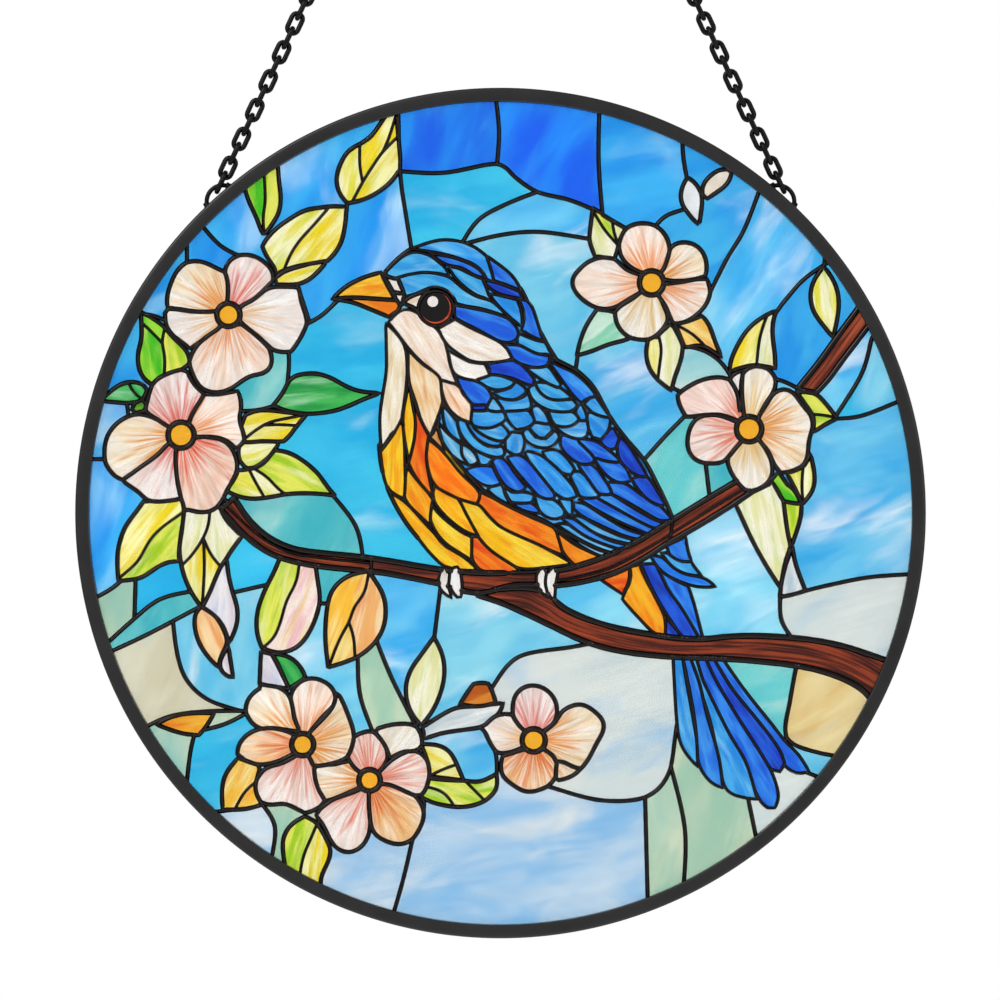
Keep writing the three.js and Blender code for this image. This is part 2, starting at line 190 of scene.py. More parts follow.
flower("blossom_right", (87.7, 29.6), 4.6,
    ("petal_cream", [(86.5, 33), (85.3, 40), (85.2, 46), (86, 50.2), (90, 51.8), (94.5, 51), (97, 47.5),
     (97, 44), (94.5, 40), (92.3, 36.5), (90, 32)]),
    ("petal_white", [(84.5, 36), (84.9, 42), (85, 47), (85.7, 50.3), (83, 49.6), (80.9, 47), (83.5, 43)]),
    ("petal_rose", [(86, 32), (79.5, 34.3), (75, 34.8), (68.5, 34.2), (65.5, 34), (63, 38.5), (62.5, 41.5),
     (66, 44.5), (71, 47), (76.5, 48), (81, 47), (83.5, 43), (85, 38)]),
    ("petal_rose", [(85, 31), (79.5, 33.8), (75, 34.7), (70, 34), (67.5, 31.5), (66, 27), (66.2, 22),
     (68.5, 18.8), (73, 17.5), (78.5, 17.8), (80.5, 20), (83.5, 23.5), (86, 27)]),
    ("petal_cream", [(87, 27), (82, 22), (80, 19), (81, 15), (83.5, 11), (86, 8.3), (89, 7.8), (93, 9.5),
     (95.8, 13), (95.8, 17.5), (94, 22), (90, 27)]),
    ("petal_gold", [(90, 32), (94, 38.5), (96.5, 42.5), (100, 44), (103.5, 42.5), (106.5, 38),
     (109.5, 34.5), (110.3, 30.5), (108.8, 26), (108.5, 21), (107.5, 17.5), (103.5, 15), (98.8, 14.3),
     (96.5, 17), (94.5, 22), (90, 27)]))
flower("blossom_lower_left", (-69.8, -81.7), 4,
    ("petal_gold", [(-71, -77), (-80, -75.8), (-85, -76), (-88, -74), (-89.8, -70.5), (-89.5, -66.5),
     (-86.5, -62.8), (-82, -61), (-77.5, -61.8), (-74.5, -64.5), (-73.3, -69), (-72.5, -74)]),
    ("petal_peach", [(-71.5, -79), (-73.2, -70), (-74.2, -64.5), (-72.5, -61), (-69.5, -58.7), (-65, -58.3),
     (-60.5, -60.5), (-58.3, -64), (-59, -68), (-63, -72), (-68, -78)]),
    ("petal_gold", [(-68.5, -79), (-62.5, -72.5), (-59.2, -68.5), (-57.7, -63.5), (-55.5, -67),
     (-53.5, -72), (-51.8, -77), (-52.2, -82), (-54.5, -86.5), (-60, -88.5), (-66, -89), (-67.5, -84)]),
    ("petal_rose", [(-71, -85), (-77, -88.3), (-83, -90), (-86, -94), (-86.3, -98.5), (-84, -102.3),
     (-80, -103), (-76.5, -102.3), (-72.5, -104), (-69, -105.8), (-65, -104.5), (-62, -101.5),
     (-64.5, -97.5), (-65.7, -93), (-66.4, -88), (-68.5, -85)]),
    ("petal_orange", [(-71.5, -79), (-78, -76.2), (-84, -76), (-88.5, -77.5), (-92, -81), (-92.8, -85),
     (-90, -87.3), (-85, -88.8), (-79, -87.8), (-72, -84)]))
flower("blossom_bottom", (-46.2, -94.3), 3.9,
    ("petal_rose", [(-48, -92), (-51, -90.5), (-53.5, -87), (-54.5, -84), (-52.3, -79.5), (-48.5, -77.3),
     (-45.3, -77), (-42, -80), (-39.8, -84.5), (-40.5, -88.5), (-44, -92)]),
    ("petal_cream", [(-44, -77), (-40, -75), (-35, -74.3), (-30.5, -74.8), (-28, -78), (-27.8, -82),
     (-30.5, -84), (-35, -84.2), (-38.8, -86.3), (-40.5, -82.5)]),
    ("petal_rose", [(-44, -93), (-40, -88.5), (-36, -85.5), (-31, -83.8), (-27, -85.5), (-25.2, -89.5),
     (-25.3, -94), (-27, -98.5), (-29.5, -99.8), (-34, -98), (-39, -95.8), (-43.5, -95.3)]),
    ("petal_orange", [(-44, -96), (-37.5, -95.8), (-32, -98.5), (-28.5, -101.5), (-27, -106), (-28.3, -111),
     (-31.5, -115.5), (-36, -117), (-41, -115.5), (-45, -112.5), (-46.3, -105), (-46.3, -97)]),
    ("petal_rose", [(-46.6, -97), (-53, -99), (-58, -100.5), (-62, -103), (-65, -106.5), (-62.5, -110),
     (-60.3, -115), (-57.5, -118.5), (-53.5, -119.8), (-49.3, -118), (-46.3, -113), (-46, -105)]),
    ("petal_gold", [(-48.5, -95.8), (-48.5, -92), (-53.5, -87.5), (-58, -88.7), (-65, -89.2),
     (-65.5, -93.5), (-64, -98), (-61.5, -101.5), (-57, -100), (-52, -98)]))
flower("blossom_lower_middle", (11.7, -80.2), 4.2,
    ("petal_blush", [(9.5, -77.5), (5, -73), (4.2, -68.5), (5.3, -64), (8.5, -61.3), (12.5, -60.8),
     (16.5, -62.5), (19.3, -66), (20, -70), (19, -74), (14, -77.5)]),
    ("petal_gold", [(14.5, -78), (19.5, -74), (21, -70.5), (25, -68), (29, -67.5), (33, -69.8),
     (36.5, -73.5), (36.3, -77), (34, -81), (31.5, -86), (28.5, -90), (24.5, -89), (20.5, -86.5),
     (14.5, -82.5)]),
    ("petal_gold", [(20.2, -87.6), (24, -88.6), (28, -90.5), (25.5, -92.8), (22, -94), (19.6, -93.6)]),
    ("petal_orange", [(9.5, -83), (4, -84.8), (0.8, -85.8), (0, -89), (0.8, -93), (4.5, -96), (8.5, -98.3),
     (13, -98), (18, -95.5), (19.8, -92), (19.8, -88), (18, -85), (14, -83)]),
    ("petal_white", [(9, -79), (7, -75.5), (4.5, -71.3), (0, -71), (-3.8, -73), (-5.5, -76), (-4.5, -79.5),
     (-2.5, -83), (-0.5, -84.8), (4, -84.3), (9, -82)]))

# Two buds on the shoulder of the panel, over the upper right blossom
draw("blossom_upper_right", "bud_ice", [(66, 118.3), (63.8, 114), (63.7, 110), (66, 106), (69.7, 102),
    (70.7, 106), (71.2, 111), (69.5, 115.5)])
draw("blossom_upper_right", "petal_cream", [(71.2, 115.5), (74, 119), (78, 121.5), (81.5, 120.3), (80, 116),
    (76, 113), (73, 111), (71.5, 112)])

# Branches. The rim or a blossom hides their blunt ends.
MAIN_TOP = [(-94, 5.3), (-90, -0.8), (-86, -5.2), (-80, -9.7), (-72, -12.8), (-62, -14.2), (-50, -15.4),
    (-40, -16.8), (-22, -19.8), (-12, -20.9), (0, -21.2), (12, -20.9), (20, -20.2), (30, -17.8), (40, -14),
    (50, -9), (60, -2.9), (70, 3.3), (80, 9.3), (87, 13.5)]
MAIN_FOOT = [(88, 7), (80, 1.8), (70, -4.3), (60, -10), (50, -16.3), (40, -21.2), (30, -24), (20, -25.5),
    (12, -25.3), (5, -25.3), (0, -26.5), (-6, -28.2), (-13, -27.5), (-22, -24.8), (-40, -21.3),
    (-50, -20.2), (-62, -19), (-72, -17.3), (-80, -14.8), (-86, -11.3), (-92, -6), (-98.8, 1.5)]
draw("branch_main", "bark", MAIN_TOP, BLUNT, MAIN_FOOT, BLUNT, seam=BARK_SEAM,
    spine=[(-96.5, 3.5), (-88, -6), (-80, -12), (-62, -16.6), (-40, -19), (0, -23.5), (20, -22.8),
    (40, -17.6), (60, -6.4), (88, 10.5)])
draw("branch_tip", "bark_red", [(104.6, 43.6), (112, 52.8), (118.5, 61.8), (124, 69.3), (132, 80)],
    BLUNT, [(138, 77), (127.5, 63), (121, 54.5), (115.5, 47), (111.2, 42.4)], [], seam=BARK_SEAM,
    spine=[(107.5, 42.5), (117, 54.5), (135, 79)])
draw("branch_lower", "bark", [(-8, -28), (0, -26.8), (10, -26.5), (17, -28.8), (21.5, -33), (30, -37.2),
    (40, -40.3), (50, -42.3), (60, -43.8), (71, -44.5), (80, -43.6), (90, -43.3), (100, -43.8),
    (110, -44.8), (120, -46.7), (128, -49.2), (142, -54)], BLUNT, [(133, -70), (129.5, -64), (124, -60),
    (115, -56.3), (104, -53.8), (90, -52.2), (75, -51.2), (60, -50.7), (46, -49.3), (36, -47.3),
    (28, -44.6), (20, -40.8), (10, -36), (0, -31.6), (-8, -29)], BLUNT, seam=BARK_SEAM, spine=[(-8, -28.5),
    (10, -31), (24, -38.8), (40, -44), (60, -47.3), (90, -47.8), (110, -50), (124, -54.5), (140, -64)])
# Thin lines of solder that follow the grain of the wood, and two joints across it
part("branch_main", [(-97, 2.6), (-90, -4), (-84, -9), (-74, -14), (-62, -16), (-50, -17.2)],
    seam=GRAIN_SEAM, overrun=BARK_OVERRUN)
part("branch_main", [(21, -23.8), (31, -21.8), (40, -18.9), (50, -13.6), (60, -7.4), (74, 1.2), (86, 8.6)])
part("branch_main", [(61, -1), (59.6, -11)], [(-45.8, -15), (-45.4, -22)], seam=KNOT_SEAM)
part("branch_lower", [(18, -33), (32, -40.6), (45, -44.8), (58, -47.2), (72, -48.4), (85, -47.2),
    (98, -46.9), (110, -49.2), (122, -53.2), (136, -60)], seam=GRAIN_SEAM, overrun=BARK_OVERRUN)

# The bird's eye: a black cabochon in a thin russet ring, with a white glint, and the pale corner before it
EYE = (-22.8, 72.3)
draw("bird_face", "white", ring((-23.9, 74.6), 1.9), seam=NO_SEAM)
draw("bird_face", "jet", ring((EYE[0] - 0.4, EYE[1] + 0.35), 5.3), seam=NO_SEAM)
draw("bird_face", "russet", ring(EYE, 6.3), seam=EYE_SEAM)
draw("bird_face", "cream", [(-34.4, 74.2), (-32.4, 76.2), (-29, 77.4), (-25.5, 78.6)], [(-28.6, 74.5),
    (-27.5, 69.5)], [(-31, 73)])

# Beak and the two white slips behind it
draw("bird_beak", "beak", [(-59.4, 75.5), (-54.6, 79.9), (-48.1, 83.2), (-42.2, 84.9)], [(-39.5, 79.6),
    (-37, 75.2)], [(-43.5, 75.6), (-52.7, 76.1)])
draw("bird_beak", "beak_low", [(-59.4, 75.4), (-52.7, 76), (-43.5, 75.5), (-36.6, 75.1)], [(-35.3, 73.2),
    (-36.3, 71.2), (-39.4, 69.2)], [(-46.7, 72.2), (-52.7, 74.5)])
draw("bird_face", "white", [(-41.6, 84.3), (-38.8, 83), (-36.2, 82.6)], [(-34, 77.4)], [(-37.8, 78)], [])
draw("bird_face", "white", [(-37.8, 77.8), (-34.1, 77.2)], [(-34.5, 73.7)], [(-36.1, 73.5)])

# Long white and blush feathers of the cheek and throat
draw("bird_face", "cheek", [(-21.9, 65.1), (-19, 66.8), (-16, 68.4)], [(-11.7, 65.9), (-5.3, 62.9),
    (0.3, 60), (2.8, 57.2), (4.2, 54.3)], [(-0.6, 53.3), (-8.9, 53.2), (-14, 55.6), (-18.6, 59)],
    [(-20.6, 62)], seam=FEATHER_SEAM)
draw("bird_face", "blush", [(-39.6, 67.3), (-36.6, 70.6), (-33.8, 72.1), (-29.7, 71), (-26.4, 67.8),
    (-22.3, 65.1)], [(-19.6, 60.4), (-18.5, 56), (-17.6, 51.6), (-15.2, 45.5)], [(-19.1, 46.4),
    (-23.2, 49.6), (-27.8, 53.2), (-32.4, 58), (-36.1, 63)], seam=FEATHER_SEAM)
draw("bird_face", "throat", [(-40.5, 67), (-37.1, 63.8), (-33.8, 59.1), (-33, 53), (-33, 47.5),
    (-33.8, 40.5), (-34.9, 33)], [(-38, 28.5), (-42.1, 22.4)], [(-42.6, 33.6), (-41.4, 42.8), (-40.3, 49.8),
    (-40.3, 59)], seam=FEATHER_SEAM)
draw("bird_face", "throat_warm", [(-32.6, 57.7), (-27.8, 52.7), (-21.6, 48.2), (-20.9, 42.8), (-20.4, 39.1),
    (-22.2, 33.6), (-24.8, 27)], [(-27.8, 32.2), (-30.2, 40), (-32.4, 46.8)], seam=FEATHER_SEAM)
draw("bird_face", "white", [(-18.4, 57.3), (-14, 54.9), (-9.9, 53), (-5.6, 52.6), (-3.8, 48.6)],
    [(-7.6, 47.3), (-12.2, 47.2), (-16.4, 49.2), (-17.8, 53)], seam=FEATHER_SEAM)
draw("bird_face", "blush_warm", [(-21.3, 47), (-15.3, 45.3), (-13, 41.9), (-10.2, 38), (-10.6, 31.9)],
    [(-14.5, 33.4), (-18.2, 36.6), (-20.4, 41.5)], seam=FEATHER_SEAM)

# The head's caps of feathers, from the brow backward
HEAD = (
    ("cyan", [(-40.8, 84.9), (-38, 87.6), (-34.3, 90.8), (-30.6, 92.2), (-25.5, 91.3), (-22.3, 88.9),
     (-19, 86.2), (-18, 83.6)], [(-22.3, 84.6), (-27.8, 84.9), (-34.3, 83.7), (-37.6, 82.7)]),
    ("cyan", [(-36, 83), (-29.7, 84.8), (-22.8, 84.6), (-17.7, 83.2), (-14.5, 80.2), (-11.2, 77.9),
     (-7.6, 76), (-3.4, 75.1), (-0.2, 72.3), (3.2, 68.8)], [(-5.7, 71.9), (-13.5, 73.2), (-15.5, 74),
     (-17.2, 77.4), (-20.5, 79.4), (-23.7, 79.9), (-26.9, 78.8), (-29.7, 77.2), (-33.4, 76.5)], []),
    ("cobalt", [(-16, 73.2), (-13.1, 72.8), (-6.6, 71.6), (-0.2, 69.9), (3.5, 68.2), (6.3, 64.5),
     (5.9, 61.5), (3.6, 60), (0.3, 60.3), (-5.3, 63.1), (-10.3, 65.9), (-16, 69)]),
    ("cobalt", [(-24.4, 91.4), (-18.2, 90.6), (-13.1, 88.9), (-8.9, 87.1), (-6.2, 84.8), (-5.2, 83)],
     [(-8, 83.3), (-10.8, 84.8), (-13.5, 86.6), (-17.7, 87.2), (-20.5, 88.2)]),
    ("azure", [(-31.5, 93.3), (-20, 91.4), (-13.1, 89.3), (-8.9, 87.5), (-6, 85), (-5, 82.6)], [(-2.4, 82),
     (-4.9, 90.6)], [(-9, 93.8), (-15, 96), (-22, 96.3)]),
    ("cyan", [(-18.4, 86.9), (-15.4, 86.7), (-13.1, 85.6), (-9.9, 83.9), (-6.4, 82.6)], [(-4.6, 78.6),
     (-3.8, 75.4)], [(-7.6, 76.4), (-11.2, 78.6), (-14.5, 81.4), (-16.8, 83.9)]),
    ("cobalt", [(-4.9, 90.8), (-3.4, 84.8), (-2.2, 82)], [(3, 80.2), (7.4, 78.3)], [(4, 84)]),
    ("navy", [(-6.2, 82.3), (-2, 81.5), (2.6, 79.9), (6.8, 78), (7.6, 75.7)], [(2.6, 76.4), (-1.6, 77.8),
     (-4.4, 79.6)]),
    ("azure", [(-3.9, 77.3), (-1.6, 77.2), (2.6, 76), (5.8, 75.2), (7.2, 71.9), (7.7, 68.7), (7.6, 65.6)],
     [(4, 68.4), (0.3, 71.9), (-2.5, 75.1)]),
    ("cobalt", [(6.4, 75.6), (10.6, 74), (13.4, 66), (15.2, 60.8)], [(11.8, 61.8), (7.4, 64.6)],
     [(8.6, 70)]),
    ("cyan", [(5.6, 64), (9, 62.2), (12.7, 60.9), (16, 60.2)], [(17.8, 56)], [(12.7, 56.2), (9.5, 57.9),
     (6, 59.6)], []),
    ("cobalt", [(1.6, 59.4), (6.3, 59.4), (9.5, 57.8), (13, 56.2), (17.4, 55.6)], [(16.8, 52.4),
     (13.6, 51.2), (9, 52), (4.4, 54.2)]),
    ("navy", [(-4.6, 52.5), (0, 53.6), (4.4, 54), (8.8, 51.3), (12, 47)], [(11.4, 45), (9, 45.4),
     (4.9, 47.4), (0.3, 48.4), (-3.4, 49.6)]),
)
for sheet, *runs in HEAD:
    draw("bird_head", sheet, *runs, seam=FEATHER_SEAM)

# The wing: small scalloped coverts, longer scapulars, then the flight feathers down to the branch
COVERTS = (
    ("cobalt", [(-15.6, 48.9), (-11, 47.1), (-7.6, 46.3), (-4, 43.5), (-3, 41), (-4.8, 38.7), (-9.4, 38.1),
     (-12.3, 41), (-14.6, 45)]),
    ("cyan", [(-8.8, 46.7), (-3, 48.9), (1.5, 48), (5, 46.6), (3.5, 44.4), (0, 43.3), (-3, 43.6),
     (-5.5, 44.8)]),
    ("azure", [(9.6, 51), (16.5, 51.8), (19.2, 48.5), (21.4, 45.4), (20.3, 44.2), (16.2, 46),
     (12.6, 48.3)]),
    ("bright", [(16.8, 53.8), (20, 52.2), (25.5, 49.8), (29.7, 46.5), (33.6, 41.6), (31, 40.6), (28.4, 39),
     (24.8, 42.5), (21.6, 47)]),
    ("azure", [(-2.8, 42.4), (0, 43.1), (3.6, 44.3), (5, 46.5), (8, 45), (9, 42.5), (6.2, 40.2),
     (2.5, 39.9), (0, 40.6)]),
    ("cyan", [(12.3, 46), (16, 46), (21, 44.3), (24.9, 41), (22, 39.9), (17, 40.1), (13.9, 42.5)]),
    ("cyan", [(9.8, 43.8), (12.3, 45.5), (14.3, 41.5), (18, 39.7), (25.5, 40.1), (27, 38.3), (25, 35.9),
     (19, 35.8), (14.5, 37.4), (11.1, 40)]),
    ("cyan", [(-5, 36.8), (-3, 40.8), (-1.9, 40.4), (1, 36.1), (-3.5, 35.9)]),
    ("azure", [(-1.8, 40.2), (0, 40.8), (6, 39.9), (9.7, 42), (11, 39), (10.2, 36.7), (6, 36.1),
     (1.3, 36.2)]),
    ("navy", [(-10.2, 38.2), (-5, 38.1), (-4.8, 36.2), (-10, 36.2)]),
    ("azure", [(10.8, 36.8), (13, 38), (15.4, 36.5), (17.1, 33), (17.6, 31.4), (14, 31.6), (11.6, 33.8)]),
    ("cyan", [(16.8, 36.1), (21, 36.1), (25.6, 35.6), (27.7, 33), (25, 30.4), (20, 30.6), (18.1, 32.5)]),
    ("azure", [(26.4, 36), (28.5, 38.5), (30.2, 35.5), (30.4, 32.6), (28, 32.6)]),
    ("azure", [(29.6, 38.4), (33, 41.6), (35.8, 37.8), (38.6, 33.8), (34, 34.5), (31, 36.5)]),
    ("azure", [(-10.2, 36), (-4, 35.9), (0.9, 35.9), (1.9, 33), (0.3, 31.6), (-3, 30.1), (-8, 30.1),
     (-10.4, 32)]),
    ("azure", [(1.5, 35.7), (6, 36.1), (9.9, 36.1), (12, 32.5), (9.6, 30.2), (5.5, 29.5), (3.3, 31.5)]),
    ("azure", [(30.8, 35.3), (35, 34.9), (38.8, 33.2), (38, 29), (35.6, 26.1), (32.4, 26.8), (31, 30)]),
    ("ice", [(18.4, 31.2), (22, 30.7), (27.5, 32.6), (30.7, 32.5), (31, 28.5), (29.2, 26.3), (25.5, 26.4),
     (21.3, 28.5)]),
    ("ice", [(9.8, 30.8), (13, 32), (17.6, 31.4), (18.4, 29.3), (15.8, 26.5), (12.8, 26.8)]),
    ("ice", [(-9.9, 30.7), (-4, 29.9), (0, 31.5), (2.3, 30), (3.2, 27.8), (1, 25.5), (-2.5, 25.8),
     (-6.7, 27.8)]),
    ("ice", [(7.8, 28.6), (10, 29.8), (12.3, 26.8), (16, 26.3), (19, 29), (20.8, 26.7), (18.1, 23.1),
     (13, 23.1), (9.4, 24.8)]),
    ("ice", [(4, 28.6), (7.5, 28.2), (8.9, 24.5), (7.4, 21), (4.4, 20.6), (1.8, 22.4), (1.6, 26)]),
    ("azure", [(-12.2, 32.6), (-9.9, 31), (-6.5, 27.3), (-2, 25.5), (1, 25.3), (-0.5, 23.6), (-4, 23.6),
     (-7.7, 25.7), (-10.7, 29)]),
    ("azure", [(-15, 33), (-12.2, 32.3), (-10.2, 28.5), (-7.1, 25), (-3, 23), (0.4, 23.6), (1.5, 21),
     (-0.5, 19.6), (-5, 20.4), (-10, 22.9), (-13.2, 26.5), (-15, 30)]),
    ("ice", [(-20.4, 38), (-17, 34.2), (-14.9, 31.7), (-14.3, 27), (-12.8, 24.6), (-17, 26.8),
     (-19.7, 30.5)]),
    ("mist", [(-22, 32), (-20, 29.5), (-17, 26.6), (-13.8, 24.2), (-13.8, 20.5), (-11.4, 17), (-16.8, 20),
     (-20.9, 26)]),
    ("mist", [(-13.4, 24.4), (-10, 22.4), (-7.8, 18.3), (-10.5, 16.8), (-12.9, 18.3), (-14, 21.5)]),
    ("ice", [(-9.2, 22.5), (-5, 20.1), (-2.8, 19.3), (-4.3, 17), (-7.2, 17), (-8.2, 19.5)]),
    ("bright", [(-11, 16.2), (-6, 16.8), (-2.8, 16.3), (-1, 12.5), (0.2, 10.2), (-5, 9.3), (-8, 11),
     (-12.6, 15)]),
    ("ice", [(-4.6, 8.4), (0.3, 10.2), (1.5, 6.5), (3.6, 2.8), (-1, 5)]),
)
SCAPULARS = (
    ("cobalt", [(-3, 18.3), (0, 19.8), (2.1, 18.7), (5.6, 13.2), (9, 9.3), (6.3, 7.3), (2.7, 8.6),
     (-0.2, 12)]),
    ("cobalt", [(2.3, 19.7), (5, 20.6), (8.6, 19.7), (14.1, 13.2), (19.2, 6.5), (17.5, 4.8), (13.4, 6),
     (8.3, 11.5), (3.8, 17)]),
    ("azure", [(8.6, 21.2), (13, 21.3), (15, 20), (20.6, 15.2), (26.6, 8.2), (27, 5.9), (23.5, 4.8),
     (19.3, 6.8), (12.8, 14.5)]),
    ("azure", [(14.8, 21.6), (19, 22.6), (21.2, 21.6), (24.2, 18.6), (26.2, 15.5), (25, 13.6), (21.4, 14.3),
     (16.8, 18.3)]),
    ("cobalt", [(21.3, 27.2), (24.5, 27.2), (29.2, 23.6), (33.3, 19), (31, 17.1), (26.9, 17.8),
     (22.3, 21.4), (20.8, 24.5)]),
    ("cobalt", [(27.3, 25.9), (33, 25.7), (36.7, 23.4), (42.4, 18.2), (36, 18.5), (31.3, 21.4)]),
    ("navy", [(34.8, 26), (37.5, 29), (40.1, 29.8), (41.9, 26.5), (40.5, 22.8), (37.4, 22.8)]),
    ("navy", [(41.4, 26.6), (44.4, 25.2), (48.4, 18.9), (51.6, 13.2), (47, 13.6), (42.2, 18.3),
     (41.1, 22)]),
    ("cobalt", [(27.3, 17.1), (30, 17.5), (33.2, 16.7), (36.2, 12.6), (39.2, 7.3), (35, 6.6),
     (31.3, 11.4)]),
    ("cobalt", [(33.2, 18.9), (38, 19), (42.6, 17.9), (45.7, 13.6), (46.2, 11.4), (42.5, 10.6),
     (37.9, 12.6)]),
    ("azure", [(24.3, 13.6), (28, 14.7), (32.1, 10.7), (35, 6.2), (31, 5.1), (27.8, 6.1), (26.6, 9)]),
    ("navy", [(46.3, 12.1), (52, 12.6), (55, 8.2), (58.2, 3), (54, 3.3), (49.8, 6.8)]),
    ("azure", [(0.8, 9.5), (4, 7.4), (9, 7.5), (11.7, 6.4), (11, 3.8), (7, 3.5), (3.6, 4)]),
    ("azure", [(12.1, 6), (15, 5.4), (19.4, 4.6), (22.7, 0.5), (21, -2), (17, -2), (13.8, 0.6)]),
    ("azure", [(20.6, 4.7), (25.2, 4.5), (25.6, 1.5), (25.2, -0.6), (23.7, -0.5)]),
    ("cobalt", [(3.8, 3.4), (11, 3.6), (14, 0), (9.4, 0.3)]),
)
FLIGHT = (
    ("cobalt", [(37.8, 10.9), (44, 10.5), (50, 6.2), (56, 2.9), (60.6, -2.2)], [(57, -3.1), (50, 0.9),
     (44, 4.2), (38.6, 7)], []),
    ("bright_azure", [(34, 6.9), (39, 6.7), (46, 2.3), (55, -2.7), (59.4, -3.7)], [(56, -5.7), (50, -3.5),
     (42, 0.9), (34.6, 5)], []),
    ("bright_azure", [(27.6, 5), (34, 5.5), (42, 0.8), (50, -3.8), (56.4, -5.9)], [(53.5, -7.7), (48, -5.8),
     (40, -2.2), (31.6, 2.4)], []),
    ("bright_azure", [(25.8, 3.7), (29, 3.7), (36, -0.8), (45, -5.9), (53.4, -8.1)], [(50, -9.5),
     (43, -7.8), (35, -4.2), (28, -0.7), (25.8, 1.6)], []),
    ("ice", [(24.6, -0.9), (28, -0.9), (35, -4.9), (43, -8.4), (50, -10)], [(46.5, -11), (40, -9.7),
     (32.6, -6.7)]),
    ("bright_azure", [(21.6, -2.1), (25, -1.5), (33, -6.9), (40, -10.2), (47, -11.3)], [(43, -12.5),
     (37, -11.2), (29.6, -8)]),
    ("ice", [(19.4, -3.8), (24, -4), (31, -8.5), (38, -11.6), (43, -13)], [(40, -14), (35, -12.7),
     (26.8, -8.7)]),
    ("mist", [(18.4, -4.9), (26, -8.8), (34, -12.8), (40.4, -14.6)], [(36, -15.4), (28.8, -11.9)]),
)
for sheet, *runs in COVERTS + SCAPULARS + FLIGHT:
    draw("bird_wing", sheet, *runs, seam=FEATHER_SEAM)
draw("bird_wing", "azure", [(-22.2, 31), (-20.9, 26), (-17, 20.3), (-12, 14.2), (-6.5, 8.3), (0, 4.1),
    (7, 0.6), (14, -2), (19, -4.8), (28, -10.2), (36, -15)], [(46, -11.3), (54, -7.3), (60.9, -2.5)],
    [(58.7, 3), (54.9, 10.8), (50.6, 18.7), (44.7, 25.7), (39.7, 32.2), (36.1, 38.5), (32.7, 44.7),
    (27, 50.2), (20.5, 53.6), (17.5, 55.5)], [(5, 54.5), (-4, 50), (-8, 47.5), (-16, 49)], [(-13, 42),
    (-10, 37), (-10.3, 31.7)], [(-15, 33), (-18.5, 36.4), (-20.8, 40)], [])
draw("bird_head", "azure", [(-40.8, 84.9), (-38, 88), (-34.5, 91.2), (-31, 93.5), (-26, 95.2), (-20, 95.9),
    (-14.5, 95.5), (-9, 93.7), (-4, 90.7), (0, 87.4), (4, 83.1), (7.6, 78.3), (10.4, 72.5), (13.1, 66),
    (16.5, 59.3), (19.6, 54.3)], [(10, 44.5), (-8, 47.5), (-16.5, 68), (-34, 74)])

# Breast and belly: long feathers of gold, orange and flame glass
BREAST = (
    ("gold", [(-42.4, 21.6), (-38, 27.5), (-34.7, 33.5)], [(-33.9, 25), (-33.7, 17), (-33.6, 10),
     (-34, 5.1)], [(-36.4, 6), (-39.6, 8.6), (-41.3, 13)]),
    ("yellow", [(-32.3, 46), (-31, 38), (-30, 32), (-30.6, 25), (-32.4, 18)], [(-34, 27), (-34.4, 35)]),
    ("flame", [(-32.3, 46), (-30.3, 38.5), (-27.8, 32), (-25.3, 27.3)], [(-26.2, 20), (-25, 12),
     (-23.6, 5.6)], [(-26.7, 8.5), (-30.5, 13.5), (-32.6, 18)], [(-30.4, 26), (-29.8, 33), (-31.2, 40)]),
    ("tan", [(-24.8, 26.6), (-21.6, 32)], [(-20.9, 26), (-19.4, 21)], [(-22, 23.8)]),
    ("orange", [(-25.6, 26.2), (-22, 23.4), (-18.6, 19.8), (-14, 14), (-8.2, 8.6), (-7.3, 5.5),
     (-8.4, 3.1)], [(-13.5, 4.6), (-19, 7), (-23.2, 9.8), (-25.2, 14), (-26.2, 20)]),
    ("amber", [(-33, 16.5), (-30, 12.3), (-26, 7.8), (-23.8, 4.8)], [(-24.7, 0), (-24.7, -4.6)],
     [(-28, -1.4), (-33, 3.6), (-34.1, 8)]),
    ("gold", [(-23.4, 9.6), (-19, 7.1), (-15, 5.1), (-12.3, 0), (-9, -6), (-7.8, -8.2)], [(-12, -6.8),
     (-17.7, -2.7), (-22.8, 2.8), (-24, 6)], []),
    ("yellow", [(-15.4, 5.1), (-11, 3.9), (-7.3, 2.7), (-4, -1.3), (0, -4.9), (6, -7.9), (14, -11.4),
     (21, -15.2), (25.6, -18)], [(18, -19), (8, -19.8), (2.8, -17.4), (-4.2, -12.6), (-8.8, -7),
     (-12.3, -1.5)]),
    ("orange_flame", [(-7.3, 7.6), (0, 4), (6, 0.8), (12, -2), (18.6, -5), (20.3, -8.5), (22.2, -15)],
     [(15, -12.1), (8, -8.9), (1, -5.7), (-3.7, -1.5), (-7, 2.5)]),
    ("orange", [(19.7, -6), (25, -10.4), (30, -13), (37, -16)], [(31, -18), (26.4, -18.6)], [(23.3, -15.6),
     (21.2, -12)]),
    ("yellow", [(-24.5, 3.6), (-22.5, 0.5), (-18, -3.6), (-13, -7.2), (-10.2, -8.4)], [(-10.1, -12),
     (-10.3, -16.6)], [(-15, -13.7), (-20.2, -10), (-23.2, -6), (-24.8, -2)]),
    ("gold", [(-39.2, 7.5), (-34, 4.2), (-30, 0.2), (-25.5, -4.9), (-22.5, -7.9), (-20.8, -10.9),
     (-16, -13.6), (-11, -17), (-7.6, -20.4)], [(-15, -20), (-20.4, -18.6)], [(-25.4, -13.6), (-31.2, -6),
     (-35.7, 0.5)]),
    ("flame", [(-10.3, -8.2), (-8, -8.4), (-3, -13), (3, -17.2), (7, -20.4)], [(-1, -21.6), (-7.2, -20.2)],
     [(-9.9, -17.3)]),
)
for sheet, *runs in BREAST:
    draw("bird_breast", sheet, *runs, seam=FEATHER_SEAM)
